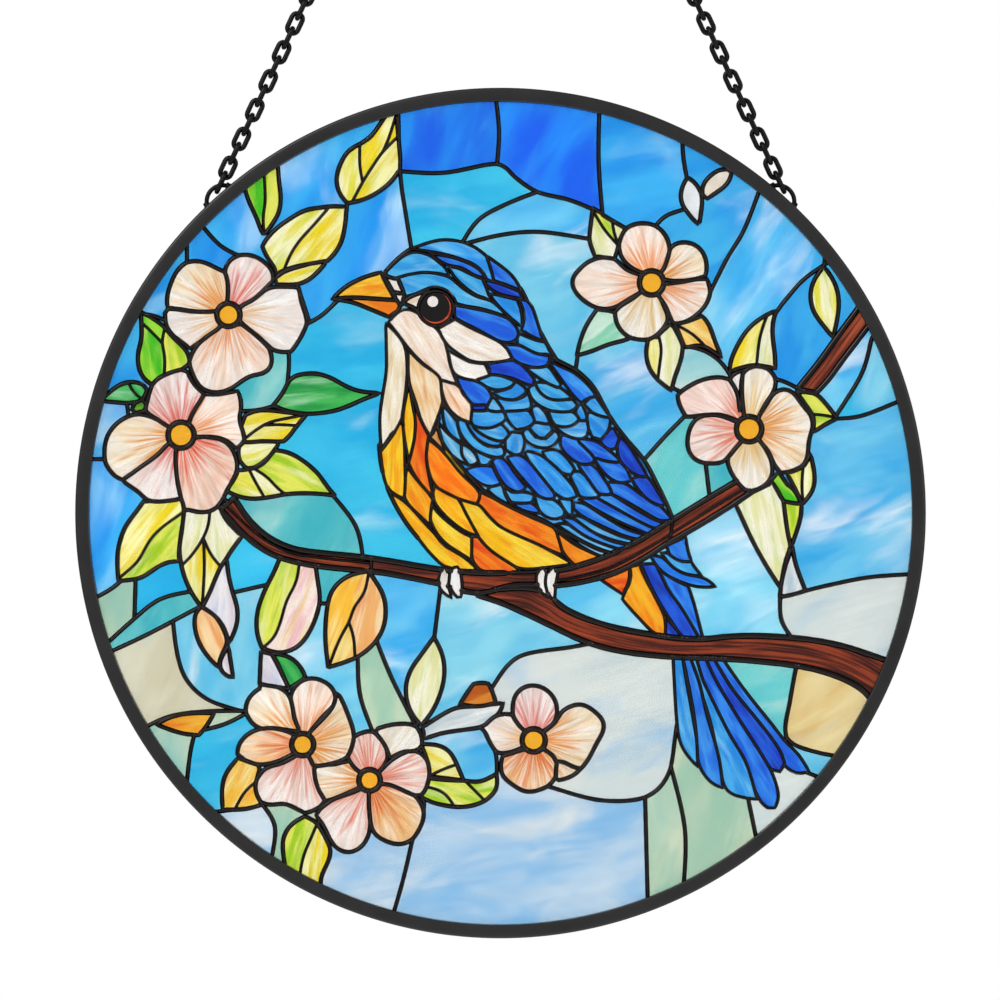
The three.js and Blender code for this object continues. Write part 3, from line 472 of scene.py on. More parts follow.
draw("bird_breast", "gold", [(-42.8, 24), (-42.3, 18), (-40.6, 11), (-37.9, 4.3), (-33.5, -3.2),
    (-28, -10.2), (-23, -15.8), (-20, -19)], [(0, -21), (26, -19.5), (38, -16)], [(20, -2), (-10, 12),
    (-22, 34)], [(-30, 34)])

# Rump and tail: wing tips and undertail under the main branch, the tail's fan under the lower one
RUMP = (
    ("cobalt", [(58.5, -11.5), (65.4, -8.4)], [(66, -13), (67.4, -17)], [(63, -17), (59.6, -14.6)], []),
    ("azure", [(56.5, -14), (60, -14.2), (63, -16.9), (67.3, -17.2)], [(69, -20), (71.3, -22.3)],
     [(66, -21.7), (60.8, -19.2)]),
    ("bright", [(52.8, -15), (57, -15.4), (61, -19.4), (66, -21.9), (71.5, -22.6), (76, -26)],
     [(69.8, -26.1), (62.8, -24), (56.6, -20.4)]),
    ("flame", [(34.6, -23), (45.5, -19.3)], [(45.4, -24.5), (42.9, -28.6)], [(39.6, -26.4)]),
    ("amber", [(45.7, -19), (49, -18.2)], [(51.3, -23.5), (55.3, -31), (58, -37), (58.2, -43.6)],
     [(54.6, -42.8), (49.7, -38), (43, -30.4), (43.4, -28.4), (46, -24)]),
    ("navy", [(49.4, -18), (54.8, -17.8)], [(59.2, -27), (64.2, -34), (70.4, -44.6)], [(65, -44.4),
     (59.8, -37.5), (54.8, -29.5)]),
    ("cobalt", [(54.2, -17.6), (60.8, -23.2), (66.2, -25.8)], [(68, -31), (71.6, -44.8)], [(66.2, -38),
     (60.4, -29.5)]),
    ("navy", [(57.8, -36.4), (61, -39.8), (65, -44.6)], [(58, -44.4)], []),
)
TAIL = (
    ("azure", [(60.8, -49.5), (64, -49.5)], [(65.7, -60), (67.5, -70), (69.2, -80), (69.6, -89.6)],
     [(65.5, -85), (63.1, -80), (61.9, -70)]),
    ("bright_azure", [(64, -49.5), (66.4, -49.5)], [(70.2, -60), (72.5, -70), (75.4, -80), (77.4, -88),
     (78.4, -97)], [(74.8, -95.6), (71.2, -91.3), (69.6, -87), (68.9, -76), (67, -64)]),
    ("azure", [(66.4, -49.5), (68.6, -49.5)], [(70.6, -57), (74.8, -66), (80.8, -78), (86.6, -88),
     (90.6, -101)], [(84, -100), (79.2, -97), (77, -87), (73.6, -72), (69.6, -60)]),
    ("cobalt", [(68.6, -49.5), (71.6, -49.5)], [(76, -59), (83.4, -71.5), (90.6, -82.8), (95.9, -91.8),
     (98.2, -100), (96.8, -104)], [(92.6, -103), (87.4, -93), (79.6, -78), (73.4, -65)]),
    ("navy", [(71.6, -49.5), (74.2, -49.5)], [(81.4, -61.5), (90.4, -72.7), (97.4, -81.9), (100.2, -88),
     (98.6, -91.3)], [(95, -90.2), (89.4, -83), (79.8, -69)]),
    ("cobalt", [(74.2, -49.5), (77.4, -50)], [(86.4, -62.8), (94.4, -72.8), (100.4, -80.4), (105.4, -85.5),
     (108.8, -91)], [(105.6, -92), (101, -90), (93.4, -79.5), (84.4, -68)]),
)
for sheet, *runs in RUMP:
    draw("bird_undertail", sheet, *runs, seam=FEATHER_SEAM)
for sheet, *runs in TAIL:
    draw("bird_tail", sheet, *runs, seam=FEATHER_SEAM)

# Leaves, each parted along its midrib, and the slips of glass beside them
LEAVES = (
    ("leaf_top", "leaf_yellow", [(-54, 109.3), (-56.5, 112), (-58, 117), (-57, 122), (-54, 127.5),
     (-50, 130), (-46, 132.5), (-43, 136.5), (-40, 141), (-37, 145)], [(-36.3, 136), (-35.8, 130),
     (-35.3, 124), (-36, 120.5), (-39, 116.5), (-43.5, 113), (-48.5, 110.5)]),
    ("leaf_above_left", "leaf_yellow", [(-54.3, 108), (-58, 108.3), (-64, 107.7), (-69, 106.8), (-74, 104),
     (-79, 100.5), (-82, 97.3), (-84, 94), (-82.5, 90.5), (-80, 87), (-79, 84.5)], [(-74, 86.5),
     (-68, 87.8), (-61, 89)], [(-58.5, 91.5), (-56, 96), (-54.8, 102)]),
    ("leaf_above_left", "leaf_yellow", [(-79.5, 82.8), (-76, 85.3), (-70, 87.2), (-62, 88.8), (-64.5, 85),
     (-69, 81.5), (-74, 80.5), (-79, 80.8)]),
    ("leaf_rim_top", "leaf_green", [(-83.7, 98.5), (-86, 104), (-88.8, 110), (-90.3, 115.5), (-89, 122),
     (-84, 127), (-79, 124), (-78.3, 117.5), (-77.5, 112), (-78, 106.5), (-80.5, 102)]),
    ("leaf_far_left", "leaf_green", [(-127, 71), (-126.6, 62), (-128, 56), (-127.5, 50.5), (-125, 46.5),
     (-122, 45)], [(-117, 49.5), (-112.5, 50.6), (-109.5, 53)], [(-110.5, 57), (-112.5, 59), (-116, 62.5),
     (-119, 66), (-122, 68.3)]),
    ("leaf_far_left", "leaf_emerald", [(-141, 39.8), (-137.5, 43), (-134, 45.5), (-130, 46.3),
     (-126.5, 45.8), (-124.8, 43.5), (-125.5, 41), (-128, 39.3), (-132, 38.8), (-137, 39.2)]),
    ("leaf_far_left", "leaf_olive", [(-130, 36.5), (-129, 39), (-126.5, 40), (-125, 38.5), (-125.8, 36),
     (-128.8, 35.3)]),
    ("leaf_green", "leaf_emerald", [(-80.3, 38), (-77, 42), (-74, 47.5), (-70, 49), (-65, 49.3),
     (-60, 47.8), (-55, 45), (-50, 43), (-42.5, 42.3)], [(-48, 40.3), (-53, 38), (-58, 36.2), (-64, 35.2),
     (-70, 35.1), (-76, 36.2)]),
    ("leaf_yellow", "leaf_yellow", [(-90, 34.5), (-87, 36), (-82, 36.3), (-76, 35.6), (-68.5, 34.8)],
     [(-72, 30.5), (-75.5, 26), (-78, 25.2), (-84, 25.4), (-90, 25), (-91.3, 28), (-91.5, 31)]),
    ("leaf_yellow", "leaf_lemon", [(-91, 25), (-84, 25.3), (-78.6, 25.2), (-79.5, 22.5), (-82.5, 19),
     (-86, 16.3), (-89.5, 15.8), (-92, 18), (-92.7, 21.5)]),
    ("leaf_lime", "leaf_lemon", [(-92.5, 15), (-89, 15.5), (-85, 16.5), (-82, 19), (-80.5, 22.2)],
     [(-75, 21.5), (-69, 18), (-64, 13.5), (-61, 9), (-58.4, 6.2)], [(-64, 6.8), (-70, 7), (-76, 6.6),
     (-82, 5.5), (-88, 5), (-93, 6), (-97, 8)], [(-94.5, 11)]),
    ("leaf_low_left", "leaf_lime", [(-126, 4), (-120, 4.5), (-112, 5)], [(-111.7, 0.5), (-112.3, -5),
     (-113.3, -12), (-113.5, -17)], [(-117, -17.2), (-121, -19), (-126, -22.5), (-130, -23.5),
     (-134.8, -24)], [(-135.2, -18), (-134.8, -12), (-132.5, -5), (-128.5, 0.5)]),
    ("leaf_slender", "leaf_yellow", [(-112, 1), (-106, 1.5), (-99, 2)], [(-97.5, -1.5), (-94.5, -5),
     (-91.2, -8.2)], [(-94.5, -12.5), (-97, -16.5), (-99.3, -19.8)], [(-101, -24), (-103, -29),
     (-105.5, -33.2)], [(-108.5, -29), (-111, -24), (-112.7, -18), (-113.3, -12), (-112, -5)]),
    ("leaf_slender", "lilac", [(-99, -19.5), (-96.8, -16.2), (-96, -22), (-94.5, -28), (-92.8, -34),
     (-93.2, -40), (-95.8, -46)], [(-97.3, -41), (-100, -37), (-105, -33)], [(-103, -28.5)]),
    ("leaf_slender", "leaf_peach", [(-105.5, -33), (-100.5, -36.5), (-97.5, -41.5), (-96.3, -46),
     (-98.5, -50), (-99.5, -54.5)], [(-103, -51), (-106.5, -45.5), (-108, -39.5), (-107.5, -35)]),
    ("leaf_slender", "lilac", [(-96, -47), (-95.3, -52), (-94.3, -58)], [(-97, -57.5), (-99.2, -54.5),
     (-98.3, -50.5)]),
    ("leaf_pink", "leaf_lime", [(-77.5, -15), (-71, -17), (-65.3, -18)], [(-64.5, -24), (-63.7, -30),
     (-65, -36.5), (-68, -43), (-72, -47.5), (-77, -49.3), (-81, -48.8), (-84.2, -47.5)], [(-86, -42),
     (-85.8, -35), (-83.5, -28), (-80, -21)]),
    ("leaf_pink", "leaf_emerald", [(-80.5, -49.6), (-76, -50.2), (-72, -52.5), (-69, -57.5), (-71, -59.5),
     (-74.5, -62)], [(-76, -59), (-78, -54.5)]),
    ("leaf_pink", "lilac", [(-84.5, -49), (-80.8, -49.8), (-78.2, -54.5), (-76, -59), (-74.5, -62)],
     [(-79.5, -61.3), (-85, -60.3)], [(-84.8, -55)]),
    ("leaf_orange", "leaf_gold", [(-46.5, -20.5), (-52, -21.5), (-56.5, -24), (-60, -28.5), (-61.5, -36),
     (-61.8, -45), (-60.8, -54.4)], [(-56, -53), (-50, -50.5), (-45, -46.5), (-41.5, -41), (-40.5, -35),
     (-41.5, -28.5)]),
    ("leaf_pale", "leaf_cream", [(-23.5, -43.8), (-21, -48.5), (-19.8, -54), (-20.2, -60), (-22.5, -67),
     (-25.5, -72), (-28, -75)], [(-31.5, -70.5), (-33.3, -65), (-33.3, -60), (-31.5, -55), (-28, -50)]),
    ("leaf_pale", "bud_brown", [(-14.4, -67.4), (-11.5, -63), (-9.5, -60.3), (-6.8, -59.9), (-4.3, -60.2),
     (-2.5, -64), (-1.6, -67)], [(-8, -68.3)]),
    ("leaf_pale", "milk", [(-27.5, -75.6), (-22, -72), (-16, -68.8), (-10, -68.2), (1, -67)], [(0, -70),
     (-3, -73), (-7, -75.5), (-13, -76.5), (-20, -77.5), (-26.8, -79.6)], []),
    ("leaf_yellow_low", "leaf_gold", [(-92.7, -86.5), (-85.5, -89), (-85.5, -92), (-86.5, -98),
     (-84, -102.8)], [(-90, -104.5), (-98, -104.6)], [(-98.3, -98), (-97, -92)]),
    ("leaf_yellow_low", "leaf_amber", [(-121.5, -74.6), (-116, -71.8), (-109, -70.6), (-101, -70.6)],
     [(-103.6, -75), (-106.5, -78.4)], [(-113, -77.6)]),
    ("leaf_bottom", "leaf_lime", [(-69, -107), (-73.5, -109.5), (-76.5, -114), (-76.7, -120), (-75, -128),
     (-70, -136)], [(-63, -136)], [(-63.5, -129), (-61.5, -124.5), (-59.8, -119.5), (-62, -114),
     (-65.5, -108.6)]),
    ("leaf_beside_bud", "leaf_yellow", [(-28, -81.6), (-22.5, -81.7), (-18, -84), (-15.5, -88.5),
     (-13, -94.4)], [(-19, -93.6), (-25, -93)], [(-25.6, -88)]),
    ("leaf_beside_bud", "leaf_lime", [(-26.5, -93.4), (-19, -94.2), (-13, -94.4), (-7, -94.8), (-1.4, -92)],
     [(-1.2, -96.5), (-3.5, -100), (-7.5, -102.5), (-13, -103.7), (-19, -103.3), (-25, -101.8),
     (-28, -100)], []),
    ("leaf_teal", "mint", [(34, 71.8), (40, 71), (43, 67), (46, 62), (38, 59.5), (32, 57), (26.9, 55.6)],
     [(28.5, 62), (31, 67.5)]),
    ("leaf_teal", "leaf_cream", [(32.6, 107.6), (38, 104), (45, 100)], [(42.5, 97), (41.3, 93), (40, 89)],
     [(36, 90.3), (33.3, 90.6)], [(32, 94), (31.3, 97)]),
    ("leaf_cream", "leaf_yellow", [(55, 62), (59.8, 66.5), (62.3, 63.5), (64.3, 59), (63.5, 53.5),
     (61.5, 48), (60.3, 43.2)], [(56, 46.5), (52.5, 51), (51.3, 57), (52.5, 62.5)], []),
    ("leaf_cream", "leaf_gold", [(61.5, 66.8), (67, 67.8), (71, 69.5), (73.8, 66), (75.5, 61), (78, 55)],
     [(72, 58.8), (68, 59), (65, 58.5), (63.6, 62)]),
    ("leaf_upright", "leaf_yellow", [(81, 50), (81, 53), (83.5, 59), (87, 64.5), (91.5, 68.5),
     (97.4, 71.6)], [(96, 67), (96, 62), (96.7, 57), (97, 51)], [(89, 52.2)]),
    ("leaf_upright", "leaf_lime", [(104.5, 42.6), (110.5, 42.5), (114, 39.5), (118.8, 33.4)], [(115, 31.5),
     (110.2, 28.4)], [(110.6, 33), (109.2, 36)]),
    ("leaf_rim_right", "leaf_lemon", [(114, 87), (117, 83), (119, 78), (119.3, 72), (118.3, 66),
     (117.3, 62)], [(114, 66), (110.5, 71), (109.3, 76.5), (110.5, 82)]),
    ("leaf_hanging", "leaf_cream", [(83, 3), (87.5, 6.6), (92, 8.8), (96, 10.8)], [(98, 7.5), (100, 2.5),
     (100.3, -3), (101.5, -8), (102.3, -12), (100.5, -17), (98.8, -26.4)], [(94, -19), (89, -10),
     (85.5, -2.5)]),
    ("leaf_hanging", "leaf_green", [(94.6, 10.4), (98, 14.3), (101.2, 10)], [(103.5, 8.5), (106.3, 3.2)],
     [(100, 4.2), (97.8, 7.8)]),
    ("leaf_hanging", "leaf_lime", [(99.8, 4.4), (106.2, 3.1)], [(106, -1), (104.5, -6.5), (102.4, -12.2)],
     [(101, -5)]),
    ("leaf_hanging", "leaf_lemon", [(101, 14), (107, 16.5), (109.3, 21)], [(110.8, 14), (110.2, 8),
     (106.4, 3)], [(104, 8.5)]),
    ("leaf_hanging", "milk", [(103, -12), (103.8, -17), (105.5, -22), (107.6, -27.4)], [(103, -28.8),
     (98.6, -29.6)], [(99.2, -24), (101, -17)]),
)
for piece, sheet, *runs in LEAVES:
    draw(piece, sheet, *runs)
MIDRIBS = {
    "leaf_top": [[(-52.5, 109.5), (-48.5, 117), (-45, 122.5), (-41.5, 127.5), (-36, 133)], [(-48.7, 117),
     (-49.7, 123), (-49.6, 131)], [(-42, 126.5), (-39.5, 132), (-37, 140)]],
    "leaf_above_left": [[(-77, 84), (-74.5, 90.5), (-71, 96), (-66, 101.5), (-60, 108.5)]],
    "leaf_rim_top": [[(-83.3, 98), (-83.8, 104), (-83, 110), (-83.3, 118), (-84, 128)]],
    "leaf_far_left": [[(-118, 67), (-119.4, 60.5), (-118.4, 55), (-118.8, 47)], [(-126.4, 67), (-122, 62.8),
     (-119.4, 60)], [(-131.5, 47), (-129.6, 42.5), (-126, 40)]],
    "leaf_yellow": [[(-91.5, 25.2), (-86, 29.5), (-81, 32.2), (-76, 33.3), (-69, 34.7)], [(-84, 31),
     (-78, 31.2), (-71.5, 30.8)]],
    "leaf_lime": [[(-89, 16), (-86.5, 11), (-83, 5)], [(-86.5, 15.4), (-82, 12.5), (-79, 9), (-75, 6)]],
    "leaf_low_left": [[(-134.6, -23), (-128, -17), (-124, -10), (-120, -5.5), (-111, 1)], [(-117.5, 5),
     (-118.5, 0), (-120.5, -4.6)]],
    "leaf_slender": [[(-102.5, 2), (-103, -4), (-105, -9), (-109, -15), (-113, -19)], [(-104.8, -9),
     (-104.5, -20), (-105.3, -33)], [(-104.8, -9), (-102, -15), (-98, -19.6)]],
    "leaf_pink": [[(-70.8, -16), (-72, -24), (-75.5, -31), (-77.5, -38), (-80, -44), (-84.5, -48)]],
    "leaf_orange": [[(-46.3, -20), (-48, -28), (-51.5, -33), (-53.5, -38.5), (-57, -45), (-60.5, -54)],
     [(-53.5, -38.5), (-51.8, -44), (-51.3, -52)]],
    "leaf_yellow_low": [[(-85, -94), (-90, -98), (-94, -105)]],
    "leaf_bottom": [[(-64, -108), (-67, -115), (-69.5, -121), (-70.8, -128), (-71, -136)]],
    "leaf_beside_bud": [[(-25.5, -93), (-20, -90.3), (-14.6, -88.4)], [(-13, -94), (-8.5, -98.5),
     (-5, -102)], [(-26.5, -96.5), (-20, -98.5), (-16, -104)]],
    "leaf_teal": [[(32.4, 107), (37, 99.5), (42, 94)], [(39.3, 104), (40, 99), (41.5, 95)]],
    "leaf_cream": [[(55.4, 64), (56.8, 58), (56.2, 53), (55.4, 46)], [(62, 66.4), (68, 63), (73, 58)]],
    "leaf_upright": [[(94.5, 71), (91.5, 62), (90.3, 51.5)], [(109.4, 34.8), (114, 34.6), (119, 33.4)]],
    "leaf_hanging": [[(106.8, 17), (106.3, 9), (107, 2.6)]],
}
for piece, ribs in MIDRIBS.items():
    part(piece, *ribs)

# Seams across the sky
part("sky", [(-36.2, 146), (-35.4, 120), (-33.5, 106), (-31.2, 92)], [(-36, 120.6), (-20, 120),
    (-1.2, 123.2), (5, 118.5), (12.9, 113.3), (24, 110.6), (33, 107)], [(12.9, 113.3), (2, 109),
    (-7.9, 103.4), (-14, 94.6)], [(-14, 94.6), (0, 98.1), (14, 99.2), (32, 96.6)], [(-2, 149), (-0.5, 135),
    (-1.2, 123.2)], [(35, 147), (34.6, 124.6), (36, 105)], [(54.5, 101), (58, 104.8), (65, 107.2)],
    [(64, 140), (64.4, 126.4), (66, 117)], [(92.5, 117), (86, 100), (80, 90), (73, 76)], [(113.4, 87),
    (107, 82.5), (101.5, 76.3), (97.4, 71), (94.5, 65)], [(114.6, 91), (114, 86)], [(134, 64),
    (131.4, 62.8), (127.6, 49.4), (118.2, 34)], [(147, 42), (141, 39.6), (127.2, 34.2), (118, 33.3)],
    [(96, 47.4), (100, 46.5), (105.6, 43.6)], [(50.5, 18.6), (58, 27), (66, 35.2)], [(26.4, 50),
    (27.3, 56)], [(73.8, 5.5), (72.3, 18)], [(64, 58.7), (69, 58.3), (74, 56.2), (78.5, 52.5), (81.4, 48)],
    [(61, 44), (64, 42.6)], [(98.8, -28), (98.6, -35), (99.7, -39.5), (103.5, -45)], [(100, -29.6),
    (107, -27.6), (116, -25.4), (130.4, -22.6), (148, -21.4)], [(104.8, -52), (102.2, -66), (101, -79.4),
    (112.8, -84.7), (128, -86.6)], [(101, -79.4), (96, -87)], [(61.6, -79), (59.1, -92.5), (51, -100.3),
    (35, -101.3), (17, -96.5)], [(60, -89), (65.1, -111.9), (64.4, -135)], [(51, -100.3), (52, -139)],
    [(87, -99), (90.5, -116)], [(-3, -61.6), (6.1, -50.8), (25.1, -47.3), (34, -45.6)], [(-31, -115),
    (-34.4, -129.5), (-38.6, -144)], [(-21, -25), (-23.5, -45)], [(-50.4, -51), (-49.6, -64.3),
    (-45, -77.4)], [(-44, -44.4), (-38.7, -57.6), (-32, -71)], [(-83.6, -47), (-85, -62.4)], [(-94, -28),
    (-82, -25.2)], [(-115.6, -38), (-114, -50), (-110.7, -59), (-103, -66), (-89.6, -70.4)], [(-140, -50),
    (-124.3, -42.7), (-106, -33)], [(-141, -48), (-129.8, -37.8), (-120.2, -30.4), (-108, -27.4)],
    [(-129.2, -38), (-128.7, -22)], [(-145, -31), (-137, -26.6), (-133.4, -23.4)], [(-128, -77),
    (-117, -71.8), (-104, -70), (-89, -69.8)], [(-106.8, -77), (-97, -74.4), (-88.6, -70)], [(-107.6, -77),
    (-109.4, -84), (-111, -98)], [(-84.6, -102), (-79.5, -110.5), (-81, -123)], [(-7.8, -75), (-4, -79),
    (-1.4, -86), (-1.4, -93)], [(-26.8, -99), (-27.2, -106)], [(-110.7, 98), (-110.6, 87)], [(-106.6, 103),
    (-99, 94.4), (-91.4, 90.4)], [(-127, 70.4), (-121.5, 69.5), (-116.6, 67)], [(-70, 66), (-64, 69),
    (-60.5, 72), (-56.5, 76)], [(-146, 19), (-139, 19)], [(-131.8, 39.4), (-131.2, 33)], [(-144, 39.8),
    (-139.6, 39.8)], [(-59.6, 6.8), (-51, -4.6), (-48.4, -16.4)], [(-64.6, -31.8), (-60.4, -32)],
    [(-80.4, 58), (-75, 57.2)], [(-74.8, 57.6), (-74.6, 52), (-75.2, 46)], [(-81.2, 37.4), (-86, 36.2),
    (-91, 36)], [(-84.4, 96), (-83.6, 100)], [(-54.4, 106), (-54, 110.4)], [(-71, 78.4), (-67.4, 67.4)],
    [(-43, 43), (-41, 42.4)], [(-97, 4.6), (-99, 7)], [(-1, -86), (-0.4, -93)], [(-73, -13), (-77, -17)],
    [(90.3, 53), (90, 43)], [(102.2, -9), (103.4, -16)], [(88, 11), (88.4, 3)], [(-28.6, -70), (-30, -78)],
    [(-28, -71), (-24, -75)], [(-64.5, -112), (-63.5, -103)], [(-102, -105.5), (-94, -104.6),
    (-84.5, -102)], [(108.3, -91.6), (113, -93.5)], [(67.6, 110.5), (76.1, 116.8), (83, 123)],
    seam=SKY_SEAM)

# Which sheet each pane of sky is cut from: a place inside the pane, and the lie of the sheet's streaks in
# degrees. A second choice inside a leaf or a petal changes the sheet of one half.
for sheet, grain, *places in (
    ("sky_deep", 80, (-20, 133), (119, 74), (118, 70)),
    ("sky_deep", 65, (15, 130)),
    ("sky_bright", 15, (48, 118)),
    ("sky_bright", 80, (-140, -10), (-104, 92)),
    ("sky_azure", 30, (72, 128), (62, 101), (-122, 78), (-141, 28), (-133, 58), (-141, 33)),
    ("sky_azure", 75, (79, 100), (105, 62), (104, 56), (-92, 104), (-40, 100), (-113, 95)),
    ("sky_cyan", 10, (-18, 109), (-68, 118), (-60, 68), (-55, 72), (-46, 60), (-90, -20), (-120, -25),
     (-98, -88), (-100, -84)),
    ("sky_cyan", 60, (-55, 25), (-45, 0), (-50, 20), (130, 46), (-64, 76)),
    ("sky_cloud", 60, (104, 100), (100, 85)),
    ("sky_cloud", 25, (8, 103), (20, 104), (88, 84), (95, 90), (122, 48), (45, 40), (35, 60)),
    ("sky_cloud", 15, (130, 10), (125, 25), (-37, -35), (-34, -50), (-10, -84), (-12, -86)),
    ("sky_haze", 20, (10, 80), (15, 70), (35, -32), (30, -31), (-10, -40), (-5, -45), (-64, -52),
     (-60, -62)),
    ("sky_haze", 85, (-92, -45), (-89, -40)),
    ("sky_teal", 60, (60, 10), (62, 14), (80, 11), (76, 12), (-70, -3), (-65, -2), (-62, -24), (-62.6, -25),
     (-125, -33), (-124, -35), (-78, 44), (-80, 48)),
    ("sky_teal", 20, (88, -62), (90, -58)),
    ("sky_mist", 20, (85, -20), (85, -30), (72, 52), (70, 51)),
    ("sky_milk", 15, (120, -35), (30, -60), (40, -70), (105, -95), (-55, -70), (-57, -66), (95, -80)),
    ("sky_sand", 30, (118, -70), (112, -66)),
    ("sky_sage", 75, (75, -108), (57, -112), (-137, -34), (-135, -38), (-46, -62), (-45, -64), (-118, -84),
     (-75, -108), (-77, -106), (-74.5, -106.5)),
    ("sky_dune", 60, (-122, -58), (-120, -60)),
    ("sky_dune_blue", 60, (-103, -58), (-100, -60)),
    ("sky_lilac", 10, (-90, -113), (-92, -109), (10, -120), (0, -115), (-48, -127), (-50, -130),
     (-90, -110), (-88, -108)),
    ("leaf_lime", None, (-115, 56), (-112, 56)),
    ("leaf_yellow", None, (-40.4, 131)),
    ("leaf_lemon", None, (-53, 118), (-75, 98), (98, 60)),
    ("leaf_cream", None, (-108, -12), (-96, -8), (62, 52), (91, 57)),
    ("leaf_blush", None, (-69, -30), (-70, -36)),
    ("leaf_peach", None, (-46, -36), (-49, -42)),
    ("leaf_lime", None, (-80, 112), (-80, 15), (36, 103)),
    ("leaf_yellow", None, (-66, -124), (-118, 1)),
):
    choose(sheet, *places, grain=grain)

# Cutting: the drawing's lines part the disc into triangles, and triangles that no seam parts are one pane

GROOVE_RADIUS = 147.3  # the glass runs this far into the rim's groove
DISC_CORNERS = 240
SMALLEST_PANE = 3.5  # square millimetres: a smaller gap is taken into its neighbour
MERGE_DISTANCE = 1e-4

points = []
edges = []
sources = []


def score(line, closed, source):
    """Adds a line to what the drawing is cut along."""
    start = len(points)
    points.extend(line)
    ends = [(start + i, start + i + 1) for i in range(len(line) - 1)]
    if closed:
        ends.append((start + len(line) - 1, start))
    edges.extend(ends)
    sources.extend([source] * len(ends))


score([Vector(place) for place in ring((0, 0), GROOVE_RADIUS, DISC_CORNERS)], True, None)
for shape in drawn:
    score(shape["line"], True, ("outline", shape["seam"], shape["piece"]))
for seam in lines:
    score(seam["line"], False, ("line", seam["seam"], seam["piece"]))
cut = delaunay_2d_cdt(points, edges, [], 0, MERGE_DISTANCE, True)
corners = [Vector(corner) for corner in cut[0]]
cut_edges = cut[1]
edge_sources = cut[4]


def area(a, b, c):
    """The area of a triangle, positive where its corners run anticlockwise."""
    return 0.5 * (b - a).cross(c - a)


triangles = [list(t) if area(*(corners[i] for i in t)) > 0 else list(reversed(t)) for t in cut[2]]


def sides_of(number):
    """The three edges of a triangle, in order round it."""
    a, b, c = triangles[number]
    return (a, b), (b, c), (c, a)


def edge_key(a, b):
    """The same name for an edge from both of its sides."""
    return min(a, b), max(a, b)


def inside(place, line):
    """Whether a place lies inside a closed line."""
    odd = False
    for a, b in zip(line, line[1:] + line[:1]):
        if (a.y > place.y) != (b.y > place.y):
            crossing = a.x + (place.y - a.y) * (b.x - a.x) / (b.y - a.y)
            odd = odd != (place.x < crossing)
    return odd


for shape in drawn:
    xs, ys = [p.x for p in shape["line"]], [p.y for p in shape["line"]]
    shape["reach"] = min(xs), max(xs), min(ys), max(ys)


def owner(place):
    """The number of the topmost outline at a place, or -1 for the sky."""
    for number, shape in enumerate(drawn):
        left, right, low, high = shape["reach"]
        if left <= place.x <= right and low <= place.y <= high and inside(place, shape["line"]):
            return number
    return -1


middles = [sum((corners[i] for i in t), Vector((0, 0))) / 3 for t in triangles]
owners = [owner(m) if m.length < GROOVE_RADIUS else None for m in middles]


def piece_of(number):
    """The part of the picture that an outline belongs to."""
    return "sky" if number == -1 else drawn[number]["piece"]


sides = {}  # the triangles on each edge
for number in range(len(triangles)):
    if owners[number] is not None:
        for a, b in sides_of(number):
            sides.setdefault(edge_key(a, b), []).append(number)

seam_at = {}  # half the width of the seam on each edge that has one
for (a, b), inputs in zip(cut_edges, edge_sources):
    key = edge_key(a, b)
    pair = sides.get(key, [])
    found = [sources[i] for i in inputs if i < len(sources) and sources[i]]
    if len(pair) < 2 or not found:
        continue
    first, second = (owners[number] for number in pair)
    if first != second:
        widths = [width for kind, width, _ in found if kind == "outline"] or [FEATHER_SEAM]
        seam_at[key] = min(widths) if min(widths) == NO_SEAM else max(widths)
    else:
        widths = [width for kind, width, piece in found if kind == "line" and piece == piece_of(first)]
        if widths:
            seam_at[key] = max(widths)

pane_of = {}
panes = []  # the triangles of each pane
for start in range(len(triangles)):
    if owners[start] is None or start in pane_of:
        continue
    pane_of[start] = len(panes)
    pane = [start]
    for number in pane:
        for a, b in sides_of(number):
            if edge_key(a, b) in seam_at:
                continue
            for other in sides[edge_key(a, b)]:
                if other not in pane_of:
                    pane_of[other] = len(panes)
                    pane.append(other)
    panes.append(pane)


def pane_area(pane):
    """The area of a pane in square millimetres."""
    return sum(area(*(corners[i] for i in triangles[number])) for number in pane)


# A sliver joins the pane that it shares its longest side with
for index, pane in sorted(enumerate(panes), key=lambda item: pane_area(item[1])):
    if pane_area(pane) > SMALLEST_PANE:
        break
    shared = {}
    for number in pane:
        for a, b in sides_of(number):
            for other in sides[edge_key(a, b)]:
                if pane_of[other] != index:
                    length = (corners[a] - corners[b]).length
                    shared[pane_of[other]] = shared.get(pane_of[other], 0) + length
    if shared:
        taker = max(shared, key=shared.get)
        for number in pane:
            pane_of[number] = taker
            owners[number] = owners[panes[taker][0]]
        panes[taker] = panes[taker] + pane
        panes[index] = []
seam_at = {key: width for key, width in seam_at.items()
           if pane_of[sides[key][0]] != pane_of[sides[key][1]]}


def find_triangle(place):
    """The triangle that a place lies in."""
    for number, t in enumerate(triangles):
        a, b, c = (corners[i] for i in t)
        if area(a, b, place) >= 0 and area(b, c, place) >= 0 and area(c, a, place) >= 0:
            return number
    return None


# A sky sheet is laid only in the sky, and a coloured one only in a figure
choice = {}
for place, sheet, grain in chosen:
    number = find_triangle(place)
    if number in pane_of and sheet.startswith("sky") == (owners[number] == -1):
        choice.setdefault(pane_of[number], (sheet, grain))

# Glass. Every pane is opalescent sheet glass, 3 mm thick and hand rolled, so that streaks of two or three
# colours run through it. Its edges lie in the seams. The panes in the place of one CAD node are one piece.

MM = 0.001
PANEL_DROP = 336  # millimetres from the hook down to the middle of the panel
GLASS_THICKNESS = 3
EDGE_CLEARANCE = 0.25  # from a pane's edge to the middle of its seam
SEED_SPREAD = 50  # how far apart the panes of one sheet are taken from it

